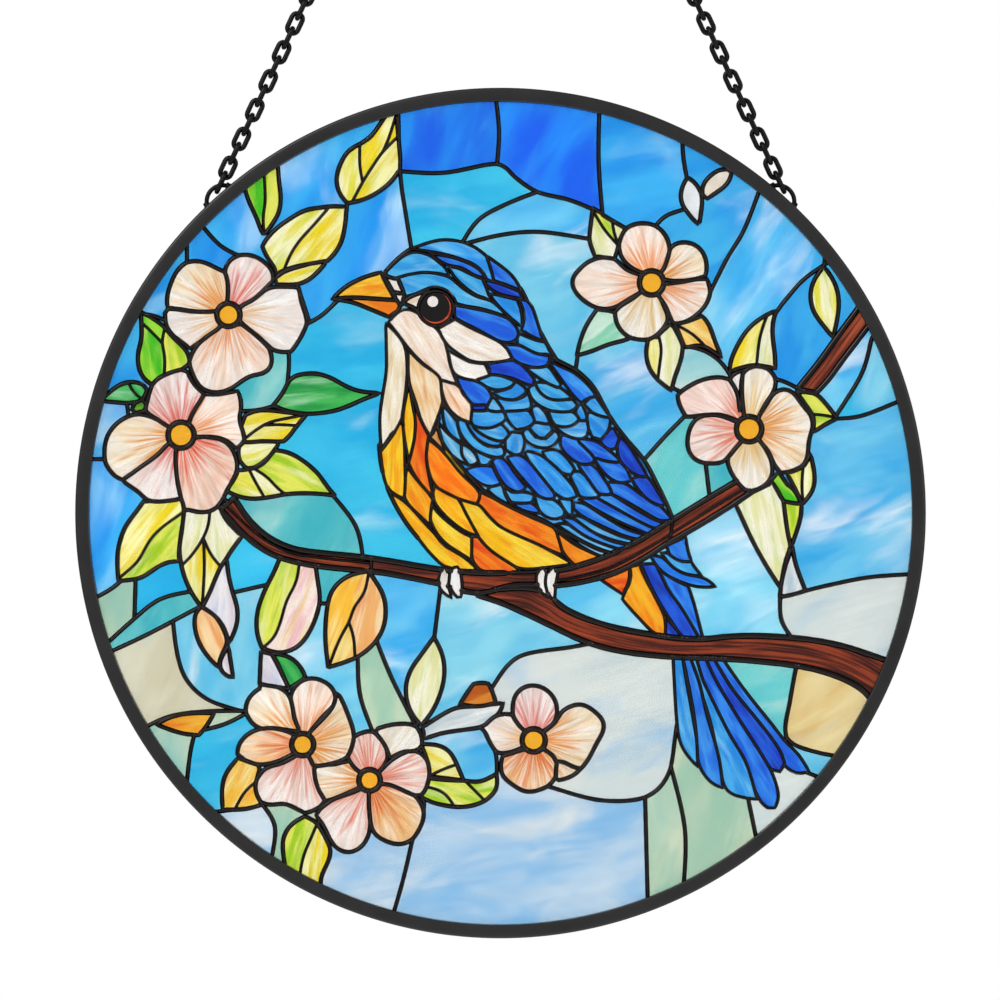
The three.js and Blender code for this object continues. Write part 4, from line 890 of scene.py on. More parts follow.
# The colours of each sheet: its ground, its streaks and its rarest streaks, or a petal's colour at the heart
SHEETS = {
    "sky_deep": ("#0f66ea", "#1f94f4", "#4ab8f8"), "sky_bright": ("#1494ec", "#3cb8f4", "#b0e4f9"),
    "sky_azure": ("#1b9aea", "#45bdf0", "#dcf1fb"), "sky_cyan": ("#1fb4e6", "#3fcaee", "#bdeaf8"),
    "sky_cloud": ("#38b0ea", "#78d0f0", "#ffffff"), "sky_haze": ("#5fc4ea", "#93dcf0", "#f6fbfd"),
    "sky_teal": ("#3fb9c6", "#74d0d0", "#cdeadf"), "sky_mist": ("#8fd0da", "#c4e2da", "#f4f0e6"),
    "sky_milk": ("#cfdcdc", "#e0e6e2", "#7cbcec"), "sky_sand": ("#d9b057", "#ecdca6", "#5fa8ea"),
    "sky_sage": ("#a3cbb4", "#d2dfc4", "#5fc4cc"), "sky_dune": ("#cdc9ae", "#dcdac6", "#a4cfd0"),
    "sky_dune_blue": ("#cfcbb0", "#6fb4ec", "#2f92ee"), "sky_lilac": ("#8cc2ea", "#cfe0ec", "#f6f2e6"),
    "petal_white": ("#f7ece6", "#fffefc", "#f4c48c"), "petal_cream": ("#f5ead8", "#fffbf2", "#ecc678"),
    "petal_blush": ("#f7dfd8", "#fff8f4", "#e4624e"), "petal_rose": ("#f6dacf", "#fff6f0", "#e87f5e"),
    "petal_peach": ("#f9e2d0", "#fff6ee", "#f0984c"), "petal_gold": ("#f8e3bf", "#fff8ec", "#ee9620"),
    "petal_orange": ("#f5c689", "#fdebd2", "#e96f14"), "petal_flame": ("#f6c9b0", "#fde6d8", "#ee4c14"),
    "bud_ice": ("#c9dfee", "#f4f8fb", "#9cc8e8"), "amber_heart": ("#fb8808", "#ffa214", "#ffc02c"),
    "leaf_green": ("#45c41a", "#9fe03a", "#e0ea7c"), "leaf_emerald": ("#1c9c48", "#45c05a", "#a6e2b4"),
    "leaf_olive": ("#3f7d20", "#6fb032", "#2a5c18"), "leaf_lime": ("#a9d422", "#eaee62", "#f6f8c4"),
    "leaf_yellow": ("#f2dc1e", "#fbf7b4", "#c4d022"), "leaf_lemon": ("#ece64a", "#fdfbd0", "#b4d62c"),
    "leaf_gold": ("#f8c43c", "#fde694", "#ee9834"), "leaf_cream": ("#ecebb0", "#fbf9e4", "#bcd860"),
    "leaf_peach": ("#f8ba70", "#fde0ae", "#ee8a48"), "leaf_blush": ("#f7c8cc", "#fff0e6", "#f2d23c"),
    "leaf_amber": ("#f08a12", "#f9bf3a", "#d65f0c"), "mint": ("#8ed8b8", "#d2efdf", "#5cbf9c"),
    "lilac": ("#dfd6e0", "#f6f2f4", "#b4c4e8"), "bud_brown": ("#b9580f", "#dc8a2c", "#7e360a"),
    "milk": ("#cfdade", "#eff2f2", "#a9c6d6"), "white": ("#f4ede6", "#fffefc", "#dccabc"),
    "cream": ("#f4e4d0", "#fffaf2", "#e2ba88"), "cheek": ("#f4e9dc", "#fffcf6", "#e8b478"),
    "blush": ("#f5dfca", "#fff6ec", "#dc9c66"), "blush_warm": ("#f5cfac", "#fdebd8", "#d9803c"),
    "throat": ("#f3e4c4", "#fdf8ea", "#d8ac5c"), "throat_warm": ("#f3c98c", "#fbe8c8", "#dc8a34"),
    "tan": ("#e6a044", "#f2c47c", "#bc6c1c"), "jet": ("#060303", "#0d0504", "#020101"),
    "russet": ("#b0321a", "#dc5a34", "#7a1c0e"), "beak": ("#fbae0c", "#ffd340", "#f07c08"),
    "beak_low": ("#f27f0c", "#fba22c", "#d85a08"), "cyan": ("#2a9fe6", "#54bcf0", "#8cd2f5"),
    "azure": ("#2090e8", "#4cb4f2", "#82cef5"), "bright": ("#1474ee", "#349af6", "#58b8f8"),
    "bright_azure": ("#146fe6", "#3f9cf2", "#0f52d4"), "cobalt": ("#1160e2", "#3490f4", "#0f4cd0"),
    "navy": ("#0a3cc4", "#1a62e6", "#062a96"), "ice": ("#2494e2", "#5cb8f0", "#a4daf6"),
    "mist": ("#4ca8da", "#86c8ea", "#c2e4f4"), "gold": ("#fbb008", "#ffd62c", "#f08208"),
    "yellow": ("#fdc408", "#ffe048", "#f79c08"), "orange": ("#f87c04", "#ffa41c", "#e65404"),
    "amber": ("#fa9606", "#ffbe24", "#f06c06"), "flame": ("#ee5206", "#fb8a14", "#d93404"),
    "orange_flame": ("#f46a04", "#fd981c", "#e24204"), "bark": ("#4e160a", "#a8431f", "#1c0602"),
    "bark_red": ("#6e2210", "#b45230", "#280a04"),
}


def linear(hex_colour):
    """Linear RGBA from an sRGB hex value."""
    channels = [int(hex_colour[i:i + 2], 16) / 255 for i in (1, 3, 5)]
    return [c / 12.92 if c <= 0.04045 else ((c + 0.055) / 1.055) ** 2.4 for c in channels] + [1.0]


def add(material, kind, values=None, links=None, **settings):
    """Adds a node to a material or the world, with its settings, its inputs' values and their links."""
    made = material.node_tree.nodes.new(kind)
    for name, value in settings.items():
        setattr(made, name, value)
    for name, value in (values or {}).items():
        made.inputs[name].default_value = value
    for name, output in (links or {}).items():
        material.node_tree.links.new(output, made.inputs[name])
    return made


def in_frame(x, depth, y):
    """A place on the drawing at this depth, in metres from the hook."""
    return x * MM, depth * MM, (y - PANEL_DROP) * MM


def new_material(name):
    """An empty node material and its shader."""
    material = bpy.data.materials.new(name)
    material.use_nodes = True
    return material, material.node_tree.nodes["Principled BSDF"]


def opalescent_glass(name, broad, fine, swirl, rare, fleck, soft, from_heart=False):
    """Hand-rolled opalescent glass: much of the light comes through and the milky streaks scatter the rest,
    so that it glows evenly. Its surface is fire polished, with slow ripples from the roller. `broad` and
    `fine` are the streaks' width and length in millimetres, `swirl` is how far they wander, `rare` how much
    of the rarest colour shows, `fleck` how dark the fine streaks are and `soft` how slowly one colour turns
    to the next. A petal's streaks run out from its heart."""
    material, shader = new_material(name)
    wire = material.node_tree.links.new
    ground = add(material, "ShaderNodeAttribute", attribute_name="ground").outputs["Color"]
    streak = add(material, "ShaderNodeAttribute", attribute_name="streak").outputs["Color"]
    rarest = add(material, "ShaderNodeAttribute", attribute_name="rare").outputs["Color"]
    laid = add(material, "ShaderNodeAttribute", attribute_name="lay").outputs["Vector"]
    apart = add(material, "ShaderNodeSeparateXYZ", links={"Vector": laid})
    seed = apart.outputs["Z"]
    flat = add(material, "ShaderNodeCombineXYZ", links={"X": apart.outputs["X"], "Y": apart.outputs["Y"]})
    place = flat.outputs["Vector"]
    if from_heart:
        reach = add(material, "ShaderNodeVectorMath", links={0: place}, operation="LENGTH").outputs["Value"]
        heading = add(material, "ShaderNodeVectorMath", links={0: place}, operation="NORMALIZE")
        turned = add(material, "ShaderNodeVectorMath", values={1: (8, 8, 0)},
                     links={0: heading.outputs["Vector"]}, operation="MULTIPLY")
        rise = add(material, "ShaderNodeCombineXYZ", links={"Z": reach})
        place = add(material, "ShaderNodeVectorMath", operation="ADD",
                    links={0: turned.outputs["Vector"], 1: rise.outputs["Vector"]}).outputs["Vector"]

    def streaks(size, offset, detail=3.0):
        """Noise drawn out along the sheet. Each pattern is taken at its own offset, so that none repeats."""
        wide, long = size
        scale = (1 / wide, 1 / wide, 1 / long) if from_heart else (1 / wide, 1 / long, 1)
        scaled = add(material, "ShaderNodeVectorMath", values={1: scale}, links={0: place},
                     operation="MULTIPLY")
        wander = add(material, "ShaderNodeTexNoise", values={"Scale": 0.6, "Detail": 2.0},
                     links={"Vector": scaled.outputs["Vector"], "W": seed}, noise_dimensions="4D")
        centred = add(material, "ShaderNodeVectorMath", values={1: (0.5, 0.5, 0.5)},
                      links={0: wander.outputs["Color"]}, operation="SUBTRACT")
        drift = add(material, "ShaderNodeVectorMath", values={"Scale": swirl},
                    links={0: centred.outputs["Vector"]}, operation="SCALE")
        moved = add(material, "ShaderNodeVectorMath", operation="ADD",
                    links={0: scaled.outputs["Vector"], 1: drift.outputs["Vector"]})
        late = add(material, "ShaderNodeMath", values={1: offset}, links={0: seed}, operation="ADD")
        return add(material, "ShaderNodeTexNoise", values={"Scale": 1.0, "Detail": detail},
                   links={"Vector": moved.outputs["Vector"], "W": late.outputs["Value"]},
                   noise_dimensions="4D").outputs[0]

    turn = add(material, "ShaderNodeMapRange", values={1: 0.5 - soft, 2: 0.5 + soft},
               links={0: streaks(broad, 0.0)}, interpolation_type="SMOOTHSTEP")
    body = add(material, "ShaderNodeMix", links={"Factor": turn.outputs["Result"], 6: ground, 7: streak},
               data_type="RGBA")
    if from_heart:
        # The rarest colour runs out from the heart in rays that end up to 24 mm away
        spread = add(material, "ShaderNodeMapRange", values={1: 0.25, 2: 0.75, 3: -4.0, 4: 24.0},
                     links={0: streaks(fine, 31.0)})
        edge = add(material, "ShaderNodeMath", links={0: reach, 1: spread.outputs["Result"]},
                   operation="SUBTRACT")
        share = add(material, "ShaderNodeMapRange", values={1: 7.0, 2: -8.0, 3: 0.0, 4: rare},
                    links={0: edge.outputs["Value"]}).outputs["Result"]
    else:
        shows = add(material, "ShaderNodeMapRange", values={1: 0.5, 2: 0.5 + 2 * soft},
                    links={0: streaks(broad, 57.0)}, interpolation_type="SMOOTHSTEP")
        share = add(material, "ShaderNodeMath", values={1: rare}, links={0: shows.outputs["Result"]},
                    operation="MULTIPLY").outputs["Value"]
    tinted = add(material, "ShaderNodeMix", links={"Factor": share, 6: body.outputs[2], 7: rarest},
                 data_type="RGBA")
    strands = add(material, "ShaderNodeMapRange", values={1: 0.3, 2: 0.7},
                  links={0: streaks(fine, 83.0, 5.0)}, interpolation_type="SMOOTHSTEP")
    shade = add(material, "ShaderNodeMapRange", values={3: 1.0 - fleck, 4: 1.0},
                links={0: strands.outputs["Result"]}).outputs["Result"]
    grey = add(material, "ShaderNodeCombineColor", links={"Red": shade, "Green": shade, "Blue": shade})
    shaded = add(material, "ShaderNodeMix", values={"Factor": 1.0},
                 links={6: tinted.outputs[2], 7: grey.outputs[0]}, data_type="RGBA", blend_type="MULTIPLY")
    wire(shaded.outputs[2], shader.inputs["Base Color"])

    spot = add(material, "ShaderNodeTexCoord").outputs["Object"]
    ripple = add(material, "ShaderNodeTexNoise", values={"Scale": 1 / (9 * MM), "Detail": 2.0},
                 links={"Vector": spot})
    bump = add(material, "ShaderNodeBump", values={"Strength": 0.35, "Distance": 0.25 * MM},
               links={"Height": ripple.outputs[0]})
    wire(bump.outputs["Normal"], shader.inputs["Normal"])
    shader.inputs["Roughness"].default_value = 0.16
    shader.inputs["IOR"].default_value = 1.52
    shader.inputs["Transmission Weight"].default_value = 0.72
    return material


GLASS = {
    "sky": opalescent_glass("swirled_opalescent_glass", (16, 44), (1.8, 34), 2.2, 0.95, 0.05, 0.17),
    "blossom": opalescent_glass("radiant_streaky_glass", (1.5, 16), (0.5, 12), 0.25, 0.95, 0.2, 0.13, True),
    "leaf": opalescent_glass("streaky_leaf_glass", (3.2, 20), (0.8, 18), 0.8, 0.75, 0.1, 0.12),
    "bird": opalescent_glass("streaky_plumage_glass", (2.6, 14), (0.7, 16), 0.6, 0.8, 0.12, 0.12),
    "branch": opalescent_glass("wispy_bark_glass", (1.0, 26), (0.45, 30), 0.35, 0.95, 0.4, 0.1),
}
SLOTS = {
    "petal_glass": ["blossom_"], "bark_glass": ["branch_"], "beak_glass": ["bird_beak"],
    "bird_blue_glass": ["bird_head", "bird_wing", "bird_tail", "bird_undertail"],
    "bird_cream_glass": ["bird_face", "bird_foot_left", "bird_foot_right"],
    "bird_amber_glass": ["bird_breast"],
    "leaf_green_glass": ["leaf_rim_top", "leaf_far_left", "leaf_green"],
    "leaf_pale_glass": ["leaf_pale", "leaf_teal", "leaf_hanging", "leaf_pink"],
    "leaf_amber_glass": ["leaf_orange"],
    "sky_deep_glass": ["sky_02", "sky_14"], "sky_pale_glass": ["sky_06", "sky_07", "sky_08"],
}


def slot_of(node):
    """The record's slot that a node's glass is in."""
    for slot, starts in SLOTS.items():
        if any(node == start or (start.endswith("_") and node.startswith(start)) for start in starts):
            return slot
    return "sky_blue_glass" if node.startswith("sky") else "leaf_yellow_glass"


# A sky pane belongs to the sky node that fills most of its place in the panel
RAY_REACH = 50  # millimetres from which the panel is looked through
sky_nodes = sorted(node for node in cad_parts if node.startswith("sky"))
sky_trees = {}
for node in sky_nodes:
    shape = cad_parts[node].data
    sky_trees[node] = BVHTree.FromPolygons([v.co.copy() for v in shape.vertices],
                                           [list(p.vertices) for p in shape.polygons])


def sky_node(pane):
    """The sky node behind most of a pane, or else the nearest one."""
    shares = dict.fromkeys(sky_nodes, 0.0)
    for number in pane:
        middle = middles[number]
        start = Vector(in_frame(middle.x, -RAY_REACH, middle.y))
        for node, tree in sky_trees.items():
            if tree.ray_cast(start, Vector((0, 1, 0)), 2 * RAY_REACH * MM)[0]:
                shares[node] += area(*(corners[i] for i in triangles[number]))
    best = max(shares, key=shares.get)
    if shares[best] > 0:
        return best
    middle = max((middles[number] for number in pane), key=lambda m: m.length)
    spot = Vector(in_frame(middle.x, 0, middle.y))
    return min(sky_nodes, key=lambda node: sky_trees[node].find_nearest(spot)[3])


def long_axis(places):
    """The direction in which a set of places is longest."""
    middle = sum(places, Vector((0, 0))) / len(places)
    offsets = [place - middle for place in places]
    xx, yy = sum(o.x ** 2 for o in offsets), sum(o.y ** 2 for o in offsets)
    xy = sum(o.x * o.y for o in offsets)
    return 0.5 * math.atan2(2 * xy, xx - yy)


def along_spine(place, spine):
    """How far a place lies to the side of a line, and how far along it."""
    best = None
    walked = 0.0
    for a, b in zip(spine, spine[1:]):
        step = b - a
        share = min(max((place - a).dot(step) / step.length_squared, 0.0), 1.0)
        near = a + step * share
        away = (place - near).length
        if best is None or away < best[0]:
            side = math.copysign(away, step.cross(place - near))
            best = away, side, walked + share * step.length
        walked += step.length
    return best[1], best[2]


# The drawing's panes, each pulled in a little from the middle of its seams, except where two of its edges
# face each other across a thin tip
SHARP_SUM = 0.4
glass_work = {}
dice = noise.random_unit_vector
noise.seed_set(7)
for index, pane in enumerate(panes):
    if not pane:
        continue
    number = owners[pane[0]]
    shape = drawn[number] if number >= 0 else None
    piece = shape["piece"] if shape else sky_node(pane)
    sheet, grain = choice.get(index, (shape["sheet"] if shape else "sky_haze", None))
    ground, streak, rare = (linear(value) for value in SHEETS[sheet])
    seed = SEED_SPREAD + SEED_SPREAD * dice().x
    used = sorted({i for t in pane for i in triangles[t]})
    local = {corner: i for i, corner in enumerate(used)}
    borders = {}
    outward = {}
    for t in pane:
        for start, end in sides_of(t):
            key = edge_key(start, end)
            if len(sides[key]) == 2 and all(pane_of[other] == index for other in sides[key]):
                continue
            width = seam_at.get(key, NO_SEAM)
            borders[(start, end)] = width
            step = (corners[end] - corners[start]).normalized()
            for corner in (start, end):
                outward.setdefault(corner, []).append((Vector((step.y, -step.x)), width))
    placed = []
    for corner in used:
        place = corners[corner].copy()
        faces = outward.get(corner, [])
        width = max((width for _, width in faces), default=NO_SEAM)
        if width > NO_SEAM:
            away = sum((normal for normal, _ in faces), Vector((0, 0)))
            if away.length > SHARP_SUM:
                place -= away.normalized() * min(EDGE_CLEARANCE, 0.5 * width)
        placed.append(place)
    angle = math.radians(grain) if grain is not None else long_axis([corners[i] for i in used])
    spine = curve(shape["spine"]) if shape and shape["spine"] else None
    lays = []
    for place in placed:
        if shape and shape["ray"]:
            lays.append((place.x - shape["ray"][0], place.y - shape["ray"][1], seed))
        elif spine:
            lays.append((*along_spine(place, spine), seed))
        else:
            lays.append((-place.x * math.sin(angle) + place.y * math.cos(angle),
                         place.x * math.cos(angle) + place.y * math.sin(angle), seed))
    work = glass_work.setdefault(piece, {"corners": [], "faces": [], "lay": [], "ground": [], "streak": [],
                                         "rare": []})
    base = len(work["corners"])
    count = len(used)
    for y in (-GLASS_THICKNESS / 2, GLASS_THICKNESS / 2):
        work["corners"] += [in_frame(place.x, y, place.y) for place in placed]
        work["lay"] += lays
        for name, value in (("ground", ground), ("streak", streak), ("rare", rare)):
            work[name] += [value] * count
    for t in pane:
        a, b, c = (local[i] + base for i in triangles[t])
        work["faces"] += [(a, b, c), (c + count, b + count, a + count)]
    for start, end in borders:
        a, b = local[start] + base, local[end] + base
        work["faces"].append((a, a + count, b + count, b))


def new_piece(name, places, faces, material, smooth=False):
    """A mesh object from its corners and faces."""
    mesh = bpy.data.meshes.new(name)
    mesh.from_pydata(places, [], faces)
    solid = bmesh.new()
    solid.from_mesh(mesh)
    bmesh.ops.recalc_face_normals(solid, faces=solid.faces)
    solid.to_mesh(mesh)
    solid.free()
    mesh.materials.append(material)
    if smooth:
        mesh.shade_smooth()
    piece = bpy.data.objects.new(name, mesh)
    bpy.context.scene.collection.objects.link(piece)
    return piece


for node, work in sorted(glass_work.items()):
    material = next(GLASS[kind] for kind in GLASS if node.startswith(kind))
    piece = new_piece("glass_" + node, work["corners"], work["faces"], material)
    lay = piece.data.attributes.new("lay", "FLOAT_VECTOR", "POINT")
    lay.data.foreach_set("vector", [value for vector in work["lay"] for value in vector])
    for name in ("ground", "streak", "rare"):
        colours = piece.data.attributes.new(name, "FLOAT_COLOR", "POINT")
        colours.data.foreach_set("color", [value for colour in work[name] for value in colour])
    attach(piece, "root")
    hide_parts(node)
    slot_of(node)

# Solder seams. Copper foil wraps every pane's edge, and solder is run over it in a half-round bead on both
# faces. A black patina darkens the bead, and the tinned foil shows beside it as a thin bright line. That
# line is partly tin and partly a painted highlight along the bead's edge.

BEAD_RISE = 0.65  # millimetres that the bead stands over the glass
FOIL_RISE = 0.07
FOIL_SHOWS = 0.28  # how much of the foil shows on each side of the bead
BEAD_FACETS = 4  # across the bead on one face of the glass
BEAD_SWELL = 0.18  # share by which a hand-run bead widens and narrows
FOIL_SWELL = 0.1
SWELL_RATE = 0.35  # swells a millimetre
JOINT_SPREAD = 1.22  # how much wider than its seams a joint's drop of solder is
DROP_TOP, DROP_RISE = 0.72, 0.85  # its flat top's share of its width, and its height's of a bead's
DROP_SIDES = 10
SHARP_TURN = math.radians(28)
CLOSE_PLACES = 0.8  # millimetres between the places that a bead keeps


def patinated_solder():
    """Black patina on solder: dark, glossy where the bead was fluxed and wiped, and a little uneven."""
    material, shader = new_material("black_patinated_solder")
    spot = add(material, "ShaderNodeTexCoord").outputs["Object"]
    mottle = add(material, "ShaderNodeTexNoise", values={"Scale": 1 / (5 * MM), "Detail": 4.0},
                 links={"Vector": spot})
    tone = add(material, "ShaderNodeMix", values={6: linear("#080404"), 7: linear("#1f1210")},
               links={"Factor": mottle.outputs[0]}, data_type="RGBA")
    wire = material.node_tree.links.new
    wire(tone.outputs[2], shader.inputs["Base Color"])
    gloss = add(material, "ShaderNodeMapRange", values={3: 0.2, 4: 0.42}, links={0: mottle.outputs[0]})
    wire(gloss.outputs["Result"], shader.inputs["Roughness"])
    lumps = add(material, "ShaderNodeTexNoise", values={"Scale": 1 / (2.2 * MM), "Detail": 2.0},
                links={"Vector": spot})
    bump = add(material, "ShaderNodeBump", values={"Strength": 0.5, "Distance": 0.2 * MM},
               links={"Height": lumps.outputs[0]})
    wire(bump.outputs["Normal"], shader.inputs["Normal"])
    shader.inputs["Metallic"].default_value = 0.35
    return material


def foil_with_painted_highlight():
    """Tinned copper foil: pale grey metal in random patches, partly tin where the patina was rubbed off and
    partly a painted highlight along the seams' edges.
    """
    material, shader = new_material("foil_metal_and_painted_highlight")
    spot = add(material, "ShaderNodeTexCoord").outputs["Object"]
    rub_and_highlight = add(material, "ShaderNodeTexNoise", values={"Scale": 1 / (7 * MM), "Detail": 3.0},
               links={"Vector": spot})
    spread = add(material, "ShaderNodeMapRange", values={1: 0.35, 2: 0.65}, links={0: rub_and_highlight.outputs[0]})
    # The pale tone is partly tin and partly a painted highlight beside each bead
    tone = add(material, "ShaderNodeMix", values={6: linear("#3a302c"), 7: linear("#e2dad4")},
               links={"Factor": spread.outputs["Result"]}, data_type="RGBA")
    material.node_tree.links.new(tone.outputs[2], shader.inputs["Base Color"])
    shader.inputs["Metallic"].default_value = 0.5
    shader.inputs["Roughness"].default_value = 0.38
    return material


# The seams' lines, joined end to end between the places where three or more meet
meeting = {}
for a, b in seam_at:
    meeting.setdefault(a, []).append(b)
    meeting.setdefault(b, []).append(a)


def seam_width(a, b):
    """Half the width of the seam between two neighbouring corners."""
    return seam_at[edge_key(a, b)]


def trace():
    """Each run of seam between two joints, as corner numbers and its half width."""
    walked = set()
    joints = [c for c, others in meeting.items() if len(others) != 2]
    for start in joints + sorted(meeting):
        for step in meeting[start]:
            if edge_key(start, step) in walked:
                continue
            walked.add(edge_key(start, step))
            run = [start, step]
            widths = [seam_width(start, step)]
            while len(meeting[run[-1]]) == 2 and run[-1] != start:
                after = next(c for c in meeting[run[-1]] if c != run[-2])
                if edge_key(run[-1], after) in walked:
                    break
                walked.add(edge_key(run[-1], after))
                widths.append(seam_width(run[-1], after))
                run.append(after)
            yield run, widths


runs = [(run, widths) for run, widths in trace() if max(widths) > NO_SEAM]


def is_sharp(before, spot, after):
    """Whether a line turns a corner here, as at the tip of a leaf."""
    into, out = spot - before, after - spot
    return min(into.length, out.length) > 0 and into.angle(out) > SHARP_TURN


def eased(line, closed):
    """The line with its small kinks smoothed, and its ends and its corners kept."""
    for _ in range(2):
        kept = list(line)
        for i in range(0 if closed else 1, len(line) - (0 if closed else 1)):
            before, after = line[i - 1], line[(i + 1) % len(line)]
            if not is_sharp(before, line[i], after):
                kept[i] = 0.25 * before + 0.5 * line[i] + 0.25 * after
        line = kept
    return line


def section(half_width, rise, corners_each):
    """A lens-shaped section that stands over both faces of the glass, as (across, depth)."""
    face = GLASS_THICKNESS / 2
    front = [(half_width * math.cos(math.pi * i / corners_each),
              -face - rise * math.sin(math.pi * i / corners_each)) for i in range(corners_each + 1)]
    return front + [(across, -depth) for across, depth in reversed(front)]


def thinned(line, widths):
    """The line without the places that lie close together between its corners."""
    kept, kept_widths = [line[0]], [widths[0]]
    for i in range(1, len(line) - 1):
        far = (line[i] - kept[-1]).length > CLOSE_PLACES
        if far or is_sharp(line[i - 1], line[i], line[i + 1]):
            kept.append(line[i])
            kept_widths.append(widths[i])
    return kept + [line[-1]], kept_widths + [widths[-1]]


def seam_strip(chosen_runs, widen, rise, corners_each, uneven):
    """Places and faces of a bar along these seams, wider than each by `widen` on both sides."""
    places, faces = [], []
    for run, widths in chosen_runs:
        closed = run[0] == run[-1]
        line = [corners[c] for c in (run[:-1] if closed else run)]
        if len(line) > 3:
            line, widths = thinned(eased(line, closed), widths + [widths[-1]])
        count = len(line)
        rings = []
        for i, spot in enumerate(line):
            before = line[i - 1] if closed or i > 0 else spot
            after = line[(i + 1) % count] if closed or i < count - 1 else spot
            way = (after - before).normalized() if (after - before).length > 0 else Vector((1, 0))
            sway = noise.noise(Vector((spot.x * SWELL_RATE, spot.y * SWELL_RATE, 0)))
            half = widths[min(i, len(widths) - 1)] * (1 + uneven * sway) + widen
            rings.append(len(places))
            for across, depth in section(half, rise(half), corners_each):
                side = spot + Vector((-way.y, way.x)) * across
                places.append(in_frame(side.x, depth, side.y))
        size = 2 * (corners_each + 1)
        for i in range(count if closed else count - 1):
            first, second = rings[i], rings[(i + 1) % count]
            for k in range(size):
                after = (k + 1) % size
                faces.append((first + k, second + k, second + after, first + after))
        if not closed:
            faces.append([rings[0] + k for k in range(size)])
            faces.append([rings[-1] + k for k in reversed(range(size))])
    return places, faces


def joint_beads(chosen_corners, rise):
    """Places and faces of a flattened drop of solder wherever seams meet or end."""
    places, faces = [], []
    face = GLASS_THICKNESS / 2
    for corner, others in meeting.items():
        if corner not in chosen_corners:
            continue
        width = max(seam_width(corner, other) for other in others)
        sharp = len(others) == 2 and is_sharp(corners[others[0]], corners[corner], corners[others[1]])
        if (len(others) == 2 and not sharp) or width == NO_SEAM:
            continue
        radius = width * (JOINT_SPREAD if len(others) > 2 else 1.0)
        base = len(places)
        levels = [(radius, -face), (DROP_TOP * radius, -face - DROP_RISE * rise(radius))]
        levels = list(reversed(levels)) + [(r, -depth) for r, depth in levels]
        for r, depth in levels:
            places += [in_frame(x, depth, y) for x, y in ring(corners[corner], r, DROP_SIDES)]
        faces.append([base + k for k in range(DROP_SIDES)])
        last = base + (len(levels) - 1) * DROP_SIDES
        faces.append([last + k for k in reversed(range(DROP_SIDES))])
        for level in range(len(levels) - 1):
            low = base + level * DROP_SIDES
            high = low + DROP_SIDES
            for k in range(DROP_SIDES):
                after = (k + 1) % DROP_SIDES
                faces.append((low + after, low + k, high + k, high + after))
    return places, faces


def bead_rise(half_width):
    """How high a bead stands over the glass: a thin one stands lower."""
    return BEAD_RISE * min(1.0, half_width / FIGURE_SEAM)


# The network is one piece of metal. It is made here as two, the seams between the bird's panes and the rest.
field_corners = {corner for number, t in enumerate(triangles) for corner in t
                 if owners[number] is not None and not piece_of(owners[number]).startswith("bird")}
bird_corners = set(meeting) - field_corners
solder = patinated_solder()
for name, own_corners in (("solder_beads_bird", bird_corners), ("solder_beads_field", field_corners)):
    own_runs = [run for run in runs if run[0][len(run[0]) // 2] in own_corners]
    places, faces = seam_strip(own_runs, 0, bead_rise, BEAD_FACETS, BEAD_SWELL)
    drops, drop_faces = joint_beads(own_corners, bead_rise)
    faces += [[i + len(places) for i in one] for one in drop_faces]
    beads = new_piece(name, places + drops, faces, solder, smooth=True)
    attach(beads, "root")
    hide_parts("solder_seams")
# The foil's pale colour is partly a painted highlight beside each bead
places, faces = seam_strip(runs, FOIL_SHOWS, lambda half_width: FOIL_RISE, 1, FOIL_SWELL)
foil = new_piece("foil_edges", places, faces, foil_with_painted_highlight())
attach(foil, "root")
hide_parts("solder_seams")

# Rim: a steel channel rolled into a hoop round the glass. Its two lips hold the edges of the panes, and its
# corners are eased before it is coated.

RIM_OUTER, RIM_INNER, GROOVE_BOTTOM = 150, 145.2, 147.7  # radii of its faces
RIM_HALF_DEPTH, LIP_INSIDE = 3.5, 1.8  # from the middle of the glass to its lips' outsides and insides
RIM_EASE = 0.9  # radius of the outer corners
RIM_STEPS = 288


def powder_coat():
    """Charcoal powder coat: a satin skin with the faint orange peel of baked powder, rubbed a little paler
    on its high spots."""
    material, shader = new_material("charcoal_powder_coat")
    wire = material.node_tree.links.new
    spot = add(material, "ShaderNodeTexCoord").outputs["Object"]
    cloud = add(material, "ShaderNodeTexNoise", values={"Scale": 1 / (14 * MM), "Detail": 4.0},
                links={"Vector": spot})
    tone = add(material, "ShaderNodeMix", values={6: linear("#131212"), 7: linear("#242222")},
               links={"Factor": cloud.outputs[0]}, data_type="RGBA")
    wire(tone.outputs[2], shader.inputs["Base Color"])
    peel = add(material, "ShaderNodeTexNoise", values={"Scale": 1 / (0.9 * MM), "Detail": 2.0},
               links={"Vector": spot})
    bump = add(material, "ShaderNodeBump", values={"Strength": 0.3, "Distance": 0.1 * MM},
               links={"Height": peel.outputs[0]})
    wire(bump.outputs["Normal"], shader.inputs["Normal"])
    gloss = add(material, "ShaderNodeMapRange", values={3: 0.34, 4: 0.52}, links={0: cloud.outputs[0]})
    wire(gloss.outputs["Result"], shader.inputs["Roughness"])
    return material


def eased_corner(r, y, turn_r, turn_y, radius, steps=4):
    """A rounded corner of the rim's section."""
    centre_r, centre_y = r - turn_r * radius, y - turn_y * radius
    return [(centre_r + turn_r * radius * math.cos(angle), centre_y + turn_y * radius * math.sin(angle))
            for angle in (0.5 * math.pi * i / steps for i in range(steps + 1))]


